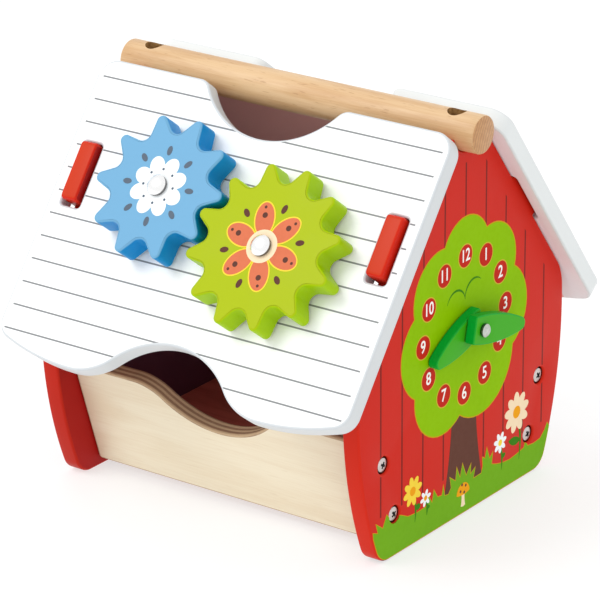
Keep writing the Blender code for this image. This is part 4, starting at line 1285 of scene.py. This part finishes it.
# %% Make the pins and fixings
for name, centre in (("green_gear", GREEN_CENTRE), ("blue_gear", BLUE_CENTRE)):
    on_roof = FRONT_ROOF @ Matrix.Translation((*centre, BOARD + FIT_GAP))
    spacer_top = FIT_GAP + SPACER
    finished(name + "_ring", ring(0.009, PIN_SHOULDER + FIT_GAP, FIT_GAP, spacer_top, 0.0002),
             [white_nylon], "front_roof", [name + "_spacer"], on_roof)
    seat = spacer_top + FIT_GAP + GEAR_THICKNESS + FIT_GAP
    finished(name + "_axle", through_pin(seat, GEAR_HEAD, GEAR_HEAD_HEIGHT, PIN_SHOULDER, BOARD),
             [bright_steel, pin_side_shade_steel], "front_roof", [name + "_pin"], on_roof)
    add_fixings(name, on_roof, BOARD, "front_roof")
clock_seat = 2 * (FIT_GAP + HAND_THICKNESS) + FIT_GAP
finished("clock_axle", through_pin(clock_seat, CLOCK_HEAD, CLOCK_HEAD_HEIGHT, PIN_SHANK, BOARD),
         [grey_steel, pin_side_shade_steel], "house", ["clock_pin"], CLOCK)
add_fixings("clock", CLOCK, BOARD, "house")

# %% [markdown]
# ## Screws
#
# Ten pan-head screws hold the house together. One screw is modelled with care, its cross recess cut by
# two tapered blades, and Geometry Nodes sets a copy on each point that it is given. No two screws stop
# at the same angle, so each copy gets a turn of its own from a seed. The faces of the recess carry a
# mark, so that the tree can give them a dark steel, which is painted shade inside the cross.

# %% One screw
SCREW_HEAD, SCREW_HEAD_HEIGHT, SCREW_CROWN, SCREW_SHANK = 0.0037, 0.0024, 0.0007, 0.002
SCREW_CORE, THREAD_PITCH = 0.0016, 0.0018
RECESS_DEPTH, RECESS_HALF_LENGTH, RECESS_HALF_WIDTH = 0.0016, 0.0025, 0.00066
print(f"screw heads are {2000 * SCREW_HEAD:.1f} mm wide, their cross {1000 * RECESS_DEPTH:.1f} mm deep")


def recess_blade(turn):
    """One tapered blade of the cross-shaped bit."""
    blade = bmesh.new()
    bmesh.ops.create_cube(blade, size=2)
    for vert in blade.verts:
        taper = 1.0 if vert.co.z > 0 else 0.45
        vert.co = (vert.co.x * RECESS_HALF_LENGTH * taper, vert.co.y * RECESS_HALF_WIDTH,
                   SCREW_HEAD_HEIGHT + (0.001 if vert.co.z > 0 else -RECESS_DEPTH))
    blade.transform(Matrix.Rotation(turn, 4, "Z"))
    return blade


def screw(length):
    """A pan-head screw that seats at z = 0, with threads below the head."""
    head = crown(SCREW_HEAD, SCREW_CROWN, SCREW_HEAD_HEIGHT - SCREW_CROWN, 8)
    head += [(SCREW_HEAD - 0.0002, 0.0002), (SCREW_HEAD - 0.0004, 0)]
    threads = []
    for i in range(int((length - 0.006) / THREAD_PITCH)):
        top = -0.003 - i * THREAD_PITCH
        threads += [(SCREW_CORE, top), (SCREW_SHANK, top - 0.45 * THREAD_PITCH),
                    (SCREW_CORE, top - 0.9 * THREAD_PITCH)]
    body = turned(head + [(SCREW_SHANK, 0), (SCREW_SHANK, -0.0025), *threads, (0.0014, 0.003 - length),
                          (0, -length)], 32)
    cut = drilled(body, [recess_blade(0), recess_blade(QUARTER)])
    mark = cut.faces.layers.float.new("recess")
    for face in cut.faces:
        middle = face.calc_center_median()
        inside = max(abs(middle.x), abs(middle.y)) < RECESS_HALF_LENGTH and 0 < middle.z
        is_wall = middle.z < SCREW_HEAD_HEIGHT - SCREW_CROWN * 0.4 and abs(face.normal.z) < 0.95
        is_bottom = middle.z < SCREW_HEAD_HEIGHT - 0.9 * RECESS_DEPTH
        face[mark] = float(inside and (is_wall or is_bottom))
    mesh = bpy.data.meshes.new("screw_master")
    cut.to_mesh(mesh)
    cut.free()
    mesh.set_sharp_from_angle(angle=SHARP)
    return mesh


# %% [markdown]
# The tree takes a seedling mesh whose points are the screws' seats, and sets the screw on each of them.

# %% The tree that sets screws
set_tree, ask, close = new_tree("Set screws", [
    ("Screw", "Object"), ("Seed", "Int"), ("Steel", "Material"), ("Recess Shade", "Material")])
master = add(set_tree, "GeometryNodeObjectInfo", {"Object": ask["Screw"]})
turn = add(set_tree, "FunctionNodeRandomValue", {2: 0.0, 3: 2 * QUARTER, "Seed": ask["Seed"]},
           data_type="FLOAT")
copies = add(set_tree, "GeometryNodeInstanceOnPoints", {
    "Points": ask["Geometry"], "Instance": master.outputs["Geometry"],
    "Rotation": xyz(set_tree, z=turn.outputs[1])})
in_recess = add(set_tree, "GeometryNodeInputNamedAttribute", {"Name": "recess"},
                data_type="FLOAT").outputs[0]
close(copies.outputs[0], ask["Steel"], ask["Recess Shade"], in_recess)


def set_screws(name, length, points, seed, nodes, where):
    """Screws of one length on a few points of the house."""
    master_screw = new_object("screw_master", screw(length))
    seats = bpy.data.meshes.new("seats")
    seats.from_pydata(points, [], [])
    mesh = grown(set_tree, {"Screw": master_screw, "Seed": seed, "Steel": zinc_steel,
                            "Recess Shade": recess_shade}, seats)
    bpy.data.objects.remove(master_screw)
    mesh.transform(where)
    settle(name, mesh, "house", nodes)


# %% Set the screws
WALL_SCREW, HANDLE_SCREW = 0.032, 0.036
# painted shade: a dark steel for the cross recess, standing for the shade inside it
recess_shade = metal("recess_shade", colour(52, 50, 50), 0.5, 900.0, metallic=0.4)
seat = BOARD - SCREW_POCKET_DEPTH + FIT_GAP
wall_points = [(x, y, seat) for x, y in wall_screw_places()]
for seed, (side, where) in enumerate((("right", RIGHT_GABLE), ("left", LEFT_GABLE))):
    set_screws(side + "_gable_screws", WALL_SCREW, wall_points, 4 + seed,
               [f"{side}_wall_screw_{i + 1}" for i in range(4)], where)
screw_x = HOUSE_LENGTH / 2 - HANDLE_SCREW_INSET
handle_points = [(side * screw_x, 0, bore_bottom + FIT_GAP) for side in (-1, 1)]
set_screws("handle_screws", HANDLE_SCREW, handle_points, 2, ["left_handle_screw", "right_handle_screw"],
           HANDLE)

# %% [markdown]
# ## Printing
#
# The tree, the grass, the flowers and the numbers are ink on the boards. Each ink is modelled as a
# sheet that is sunk in the board's face and stands at most 0.15 mm over it, each colour a little
# higher than the one below, as in screen printing. That keeps every edge crisp in any view and keeps
# the colours out of the paint's material.

# %% Ink
SUNK = 0.0004
INK_SPECULAR, INK_RELIEF = 0.03, 0.00001


def ink(name, seen, mottle=0.5):
    """Satin ink whose film is never quite even."""
    made, tree, shader = material("ink_" + name)
    vector = object_vector(tree)
    film = noise(tree, vector, 420.0, 4.0)
    broad = noise(tree, vector, 45.0, 2.0)
    darker = (*(channel * 0.86 for channel in seen[:3]), 1)
    patches = plus(tree, ramp(tree, film, 0.35, 0.75), ramp(tree, broad, 0.35, 0.7))
    uneven = times(tree, patches, mottle * 0.5, clamp=True)
    fill(tree, shader, {"Base Color": blend_colours(tree, uneven, seen, darker),
                        "Roughness": ramp(tree, film, 0.3, 0.7, 0.4, 0.52),
                        "Normal": bump(tree, film, INK_RELIEF), "Specular IOR Level": INK_SPECULAR})
    return made


def sheet(outline, height, holes=(), base=BOARD):
    """One area of ink on a board whose face is at the base height."""
    area = board(outline, holes, SUNK + height, 0)
    area.transform(Matrix.Translation((0, 0, base - SUNK)))
    return area


def bulged(stations, steps=14):
    """A closed line of arcs; each station is a point and how far the arc after it swells outwards."""
    points = []
    for (x, y, swell), (next_x, next_y, _) in zip(stations, stations[1:] + stations[:1]):
        here = Vector((x, y))
        half = (Vector((next_x, next_y)) - here) / 2
        if not swell:
            points.append((x, y))
            continue
        radius = (half.length_squared + swell ** 2) / (2 * swell)
        centre = here + half - Vector((half.y, -half.x)).normalized() * (radius - swell)
        start = math.atan2(y - centre.y, x - centre.x)
        turn = 4 * math.atan(swell / half.length)
        points += arc(centre.x, centre.y, abs(radius), start, start + turn, steps)[:-1]
    return points


def print_on(name, areas, paint, where=RIGHT_GABLE, body="house"):
    """Print areas of one ink as one piece."""
    return finished("print_" + name, joined_pieces(areas), [paint] * 3, body, (), where)


def in_millimetres(stations):
    """Stations given in millimetres, in metres."""
    return [tuple(value / 1000 for value in station) for station in stations]


print("ink reaches", 1000 * SUNK, "mm into its board")

# %% [markdown]
# The tree's crown is a round line of seven lobes. Its border is the same line drawn 0.6 mm further
# out. Both leave room for the clock's pin. The trunk widens towards the ground, and the grass follows
# the gable's own outline, with its upper edge cut into blades, a thin border of the same ink as the
# crown's, and room left for two screws.

# %% Print the tree and the grass
right_lobes = [(-4, 57.6, 16.2), (44.6, 80.7, 12.6), (45.3, 123.8, 11.4), (19.2, 152.5, 11.6)]
left_lobes = [(-18.4, 152.4, 10.4), (-44.9, 122.7, 11.9), (-44.3, 79.9, 15.4)]
crown_line = bulged(in_millimetres(right_lobes + left_lobes))
pin_room = [hole(0, CLOCK_HEIGHT, PIN_HOLE)]
CROWN_BORDER, GRASS_BORDER = 0.0006, 0.00035
border_ink = ink("border_green", colour(200, 156, 30))
print_on("crown_border", [sheet(inset(crown_line, -CROWN_BORDER), 0.00005, pin_room)], border_ink)
print_on("tree_crown", [sheet(crown_line, 0.00008, pin_room)], ink("tree_green", colour(140, 190, 2)))
trunk = bulged(in_millimetres([(-18, 14, 0), (18, 14, -1.2), (11, 58, 0), (-11, 58, -1.2)]))
print_on("trunk", [sheet(trunk, 0.00004)], ink("bark_brown", colour(101, 66, 56)))


def grass_line():
    """Inside the gable's foot, with a ragged upper edge."""
    foot = inset(gable_outline(), 0.0011)
    right = [tuple(p) for p in foot if p.x >= 0 and p.y < 0.0225]
    left = [tuple(p) for p in foot if p.x < 0 and p.y < 0.0185]
    blades = [
        (80.2, 23.4), (78, 20.2), (76, 18.6), (73.6, 16.6), (67.4, 16), (61.3, 16.6), (59, 20),
        (57.6, 16.8), (50, 15.6), (44, 15), (37, 15.6), (31, 17), (26.6, 18.6), (27.5, 25),
        (24.6, 22.4), (22, 29.3), (20.4, 24), (18, 25.6), (18.4, 20.6), (17, 17), (9.4, 16.8),
        (11, 22.4), (6.6, 20.2), (7, 25.8), (2.8, 20.8), (-0.7, 28.6), (-2.9, 21.6), (-6, 28.2),
        (-7, 21.2), (-12.2, 25), (-11, 19), (-13.5, 16.2), (-17, 16.6), (-18.3, 22.4),
        (-19.5, 17.8), (-23.5, 18.4), (-26.8, 23.4), (-28.4, 16.8), (-31.3, 21.4), (-33, 17),
        (-42, 16.6), (-50, 17.4), (-56.6, 20.6), (-60, 21), (-66, 22), (-68.9, 25.4), (-72.3, 19.2),
        (-78.1, 23.4), (-76.4, 17.8), (-80.8, 19.6)]
    return right + in_millimetres(blades) + left


ROOM = SCREW_POCKET + 0.00015


def clear_of_screws(area):
    """An area of ink with room for the two lower screws."""
    rooms = [turned([(0, 0.02), (ROOM, 0.02), (ROOM, 0), (0, 0)], 48) for _ in range(2)]
    for room, (x, y) in zip(rooms, wall_screw_places()[:2]):
        room.transform(Matrix.Translation((x, y, 0)))
    return drilled(area, rooms)


grass_border = sheet(inset(grass_line(), -GRASS_BORDER), 0.00005)
print_on("grass_border", [clear_of_screws(grass_border)], border_ink)
print_on("grass", [clear_of_screws(sheet(grass_line(), 0.00006))], ink("grass_green", colour(114, 171, 34)))

# %% [markdown]
# ## Discs, petals and dots
#
# The clock's number discs stand in a ring, and so do the petals and dots of the blossoms. Geometry
# Nodes lays them: ovals of one size on the points of a circle, each turned to look outwards. Where two
# ovals overlap, flat faces at one height would fight, so each oval lies a few thousandths of a
# millimetre over the one before. The inputs give the ring, the oval and the ink.

# %% The tree that prints rings
ring_tree, ask, close = new_tree("Print ring", [
    ("Count", "Int"), ("Ring Radius", "Float"), ("Length", "Float"), ("Width", "Float"),
    ("Thickness", "Float"), ("Step", "Float"), ("Ink", "Material")])
circle = add(ring_tree, "GeometryNodeMeshCircle", {"Vertices": ask["Count"], "Radius": ask["Ring Radius"]})
stair = times(ring_tree, ring_tree.nodes.new("GeometryNodeInputIndex").outputs[0], ask["Step"])
spots = add(ring_tree, "GeometryNodeSetPosition", {0: circle.outputs[0], "Offset": xyz(ring_tree, z=stair)})
spot_x, spot_y, _ = parts(ring_tree, ring_tree.nodes.new("GeometryNodeInputPosition").outputs[0])
bearing = maths(ring_tree, "ARCTAN2", spot_y, spot_x)
oval = add(ring_tree, "GeometryNodeMeshCylinder", {"Vertices": 40, "Radius": 0.5,
                                                   "Depth": ask["Thickness"]})
size = xyz(ring_tree, ask["Length"], ask["Width"], 1.0)
laid = add(ring_tree, "GeometryNodeInstanceOnPoints", {
    "Points": spots.outputs[0], "Instance": oval.outputs[0], "Rotation": xyz(ring_tree, z=bearing),
    "Scale": size})
close(laid.outputs[0], ask["Ink"])


def print_ring(name, count, radius, length, width, height, paint, where, body="house",
               turn=0.0, base=BOARD, step=0.0):
    """A ring of ovals about the origin of a place."""
    mesh = grown(ring_tree, {"Count": count, "Ring Radius": radius, "Length": length, "Width": width,
                             "Thickness": SUNK + height, "Step": step, "Ink": paint})
    lift = Matrix.Translation((0, 0, base - SUNK + (SUNK + height) / 2))
    mesh.transform(where @ Matrix.Rotation(turn, 4, "Z") @ lift)
    settle("print_" + name, mesh, body)


# %% [markdown]
# Each hour has a red disc with a pale border, and its number is a text object made into a mesh. Two
# leaf folds on the crown are pen strokes, thick in the middle and thin at both ends.

# %% Print the clock
STEM_GREEN = colour(62, 128, 28)
DIAL_RADIUS, DISC, DISC_BORDER = 0.0375, 0.0120, 0.0132
NUMBER_SIZE, NUMBER_BOLDNESS, NUMBER_HEIGHT = 0.0094, 0.00013, 0.00015
DIAL = RIGHT_GABLE @ Matrix.Translation((0, CLOCK_HEIGHT, 0))
print_ring("disc_borders", 12, DIAL_RADIUS, DISC_BORDER, DISC_BORDER, 0.00010,
           ink("pale_yellow", colour(205, 180, 60)), DIAL)
print_ring("number_discs", 12, DIAL_RADIUS, DISC, DISC, 0.00012, ink("disc_red", colour(193, 46, 34)), DIAL)


def number_mesh(hour):
    """The number of an hour as a thin solid."""
    words = bpy.data.curves.new("number", "FONT")
    words.body = str(hour)
    words.size, words.offset = NUMBER_SIZE, NUMBER_BOLDNESS
    words.align_x, words.align_y = "CENTER", "CENTER"
    words.extrude = (SUNK + NUMBER_HEIGHT) / 2
    words.resolution_u = 6
    obj = new_object("number", words)
    mesh = plain_mesh(obj)
    bpy.data.objects.remove(obj)
    return mesh


numbers = bmesh.new()
for hour in range(1, 13):
    angle = QUARTER - hour * QUARTER / 3
    one = number_mesh(hour)
    narrow = 0.90 if hour > 9 else 0.96
    lift = BOARD - SUNK + (SUNK + NUMBER_HEIGHT) / 2
    one.transform(Matrix.Translation((DIAL_RADIUS * math.cos(angle), DIAL_RADIUS * math.sin(angle), lift))
                  @ Matrix.Diagonal((narrow, 1, 1, 1)))
    numbers.from_mesh(one)
finished("print_numbers", numbers, [ink("white", colour(250, 248, 244), 0.2)], "house", (),
         DIAL)


def stroke(points, width):
    """Outline of a tapered pen stroke along a few points."""
    upper, lower = [], []
    for i, (x, y) in enumerate(points):
        before, after = Vector(points[max(i - 1, 0)]), Vector(points[min(i + 1, len(points) - 1)])
        pressure = math.sin(2 * QUARTER * (i + 0.8) / (len(points) + 0.6))
        way = (after - before).normalized() * width / 2 * pressure
        upper.append((x - way.y, y + way.x))
        lower.append((x + way.y, y - way.x))
    return lower + list(reversed(upper))


folds = [arc(-0.0082, 0.1181, 0.0085, 2.79, 0.18, 12), arc(0.0085, 0.1200, 0.0086, 3.16, 0.81, 12)]
print_on("leaf_folds", [sheet(stroke(fold, 0.0012), 0.00011) for fold in folds],
         ink("fold_green", STEM_GREEN))

# %% [markdown]
# ## Flowers
#
# Flowers grow at the gable's foot, and each gear has a big blossom round its pin, so that a child can
# see it turn. A flower is rings of petals and dots, and only its middle is a plain disc.

# %% Inks of the flowers
PETAL_STEP = 0.000003
STEM_WIDTH = 0.0016
inks = {name: ink(name, colour(*seen), mottle) for name, seen, mottle in (
    ("cream", (246, 222, 186), 0.3), ("snow", (244, 248, 250), 0.3), ("yellow", (246, 212, 70), 0.5),
    ("orange", (238, 160, 30), 0.5), ("apricot", (213, 117, 85), 0.5), ("brown", (98, 66, 58), 0.5),
    ("grey", (96, 108, 122), 0.5))}
inks["stem"] = ink("stem", STEM_GREEN)
print("inks:", ", ".join(inks))


def flower(name, x, y, size, petal_ink, heart_ink, petals, leaf_reach=0.42):
    """A small flower on the gable: petals, a heart and a stem down into the grass."""
    spot = RIGHT_GABLE @ Matrix.Translation((x, y, 0))
    root = (x + 0.12 * size, 0.012)
    bend = [(x + (root[0] - x) * t + 0.1 * size * math.sin(2 * QUARTER * t), y + (root[1] - y) * t)
            for t in (i / 10 for i in range(11))]
    leaf = bulged([(bend[6][0], bend[6][1], 0.09 * size),
                   (x + leaf_reach * size, y - 0.62 * size, 0.12 * size)], 8)
    print_on(name + "_stem", [sheet(stroke(bend, STEM_WIDTH), 0.00008), sheet(leaf, 0.00009)],
             inks["stem"])
    print_ring(name + "_petals", petals, 0.29 * size, 0.42 * size, 0.23 * size, 0.00010,
               inks[petal_ink], spot, turn=0.2, step=PETAL_STEP)
    print_on(name + "_heart", [sheet(hole(0, 0, 0.15 * size)[::-1], 0.00014)], inks[heart_ink], spot)


flower("tall_flower", 0.0500, 0.0400, 0.0230, "cream", "orange", 9, -0.32)
flower("side_flower", 0.0345, 0.0280, 0.0120, "snow", "yellow", 7)
flower("gold_flower", -0.0460, 0.0300, 0.0165, "yellow", "orange", 8)
flower("small_flower", -0.0345, 0.0220, 0.0095, "snow", "orange", 6)

# %% A mushroom in the grass
cap = bulged(in_millimetres([(-6, 12, 1.0), (6, 12, 5.8)]))
foot = bulged(in_millimetres([(-2, 5, 0.5), (2, 5, -0.4), (1.5, 12.5, 0), (-1.5, 12.5, -0.4)]))
print_on("mushroom_foot", [sheet(foot, 0.00008)], inks["cream"])
print_on("mushroom_cap", [sheet(cap, 0.00010)], inks["orange"])
print_ring("mushroom_dots", 4, 0.0026, 0.0016, 0.0016, 0.00012, inks["brown"],
           RIGHT_GABLE @ Matrix.Translation((0, 0.0146, 0)), turn=0.4)

# %% [markdown]
# The blossoms ride on their gears, so their rings are laid in the gear's own place, on its face.

# %% Blossoms on the gears
def gear_ring(name, gear, count, radius, length, width, height, paint, turn=0.0):
    """A ring of ovals on a gear's face."""
    where, body, slot = gear
    print_ring(name, count, radius, length, width, height, inks[paint], where, body, turn,
               GEAR_THICKNESS, PETAL_STEP)


def gear_heart(name, gear, radius, height, paint):
    """The middle of a gear's blossom, with the pin's bore through it."""
    where, body, slot = gear
    heart = sheet(hole(0, 0, radius)[::-1], height, [hole(0, 0, GEAR_BORE)], GEAR_THICKNESS)
    print_on(name, [heart], inks[paint], where, body)


blue_gear = (BLUE_GEAR, "blue_gear_wheel", "blue_board")
green_gear = (GREEN_GEAR, "green_gear_wheel", "green_board")
half_step = 2 * QUARTER / 8
gear_ring("white_petals", blue_gear, 8, 0.0110, 0.0110, 0.0088, 0.00008, "snow", half_step)
gear_heart("white_heart", blue_gear, 0.0105, 0.00011, "snow")
gear_ring("grey_leaves", blue_gear, 8, 0.0193, 0.0052, 0.0030, 0.00008, "grey")
gear_ring("grey_dots", blue_gear, 8, 0.0092, 0.0014, 0.0014, 0.00014, "grey")
gear_ring("petal_borders", green_gear, 6, 0.0145, 0.0190, 0.0122, 0.00006, "yellow")
gear_ring("apricot_petals", green_gear, 6, 0.0145, 0.0176, 0.0108, 0.00008, "apricot")
gear_ring("brown_dots", green_gear, 6, 0.0165, 0.0030, 0.0030, 0.00011, "brown")
gear_ring("small_dots", green_gear, 6, 0.0208, 0.0016, 0.0016, 0.00011, "brown")
gear_ring("brown_tips", green_gear, 6, 0.0215, 0.0050, 0.0030, 0.00008, "brown", 2 * QUARTER / 6)
gear_heart("cream_heart", green_gear, 0.0088, 0.00013, "cream")

# %% [markdown]
# ## The studio
#
# The photograph was taken in soft, even light on white, from the front right and a little above. The
# camera is placed by measurement: the same perspective lines meet in the same points. The floor glows a
# little, as a light table does, so that the shadows on it stay faint.

# %% Camera, floor and light
LENS, SENSOR_WIDTH = 217.766, 36
CAMERA_PLACE = (1.04353, -1.42665, 0.79100)
CAMERA_TURN = (68.55874, 0.38513, 36.16193)
camera_data = bpy.data.cameras.new("camera")
camera_data.sensor_width = SENSOR_WIDTH
camera_data.lens = LENS
camera_data.clip_end = 20
camera = new_object("camera", camera_data)
camera.location = CAMERA_PLACE
camera.rotation_euler = [math.radians(angle) for angle in CAMERA_TURN]
bpy.context.scene.camera = camera

FLOOR_HALF = 3.0
FLOOR_GREY, FLOOR_GLOW = 0.36, 0.64
floor_mesh = bpy.data.meshes.new("studio_floor")
corners = [(x * FLOOR_HALF, y * FLOOR_HALF, 0) for x, y in ((-1, -1), (1, -1), (1, 1), (-1, 1))]
floor_mesh.from_pydata(corners, [], [(0, 1, 2, 3)])
floor = new_object("studio_floor", floor_mesh)
floor_paint, tree, shader = material("studio_floor")
fill(tree, shader, {"Base Color": (FLOOR_GREY, FLOOR_GREY, FLOOR_GREY, 1), "Roughness": 0.7,
                    "Emission Color": (1, 1, 1, 1), "Emission Strength": FLOOR_GLOW})
floor_mesh.materials.append(floor_paint)

LAMP_PLACE, LAMP_TARGET = Vector((-0.9, -1.4, 2.0)), Vector((0, 0, 0.08))
LAMP_SIZE, LAMP_POWER, SKY_STRENGTH = 1.1, 22, 0.97
light = bpy.data.lights.new("key", "AREA")
light.size, light.energy = LAMP_SIZE, LAMP_POWER
lamp = new_object("key", light)
lamp.location = LAMP_PLACE
lamp.rotation_euler = (LAMP_TARGET - LAMP_PLACE).to_track_quat("-Z", "Y").to_euler()
world = bpy.data.worlds.new("studio")
bpy.context.scene.world = world
world.use_nodes = True
fill(world.node_tree, world.node_tree.nodes["Background"], {"Color": (1, 1, 1, 1),
                                                            "Strength": SKY_STRENGTH})
bpy.context.scene.view_settings.view_transform = "Standard"
print("camera at", [round(c, 3) for c in camera.location])
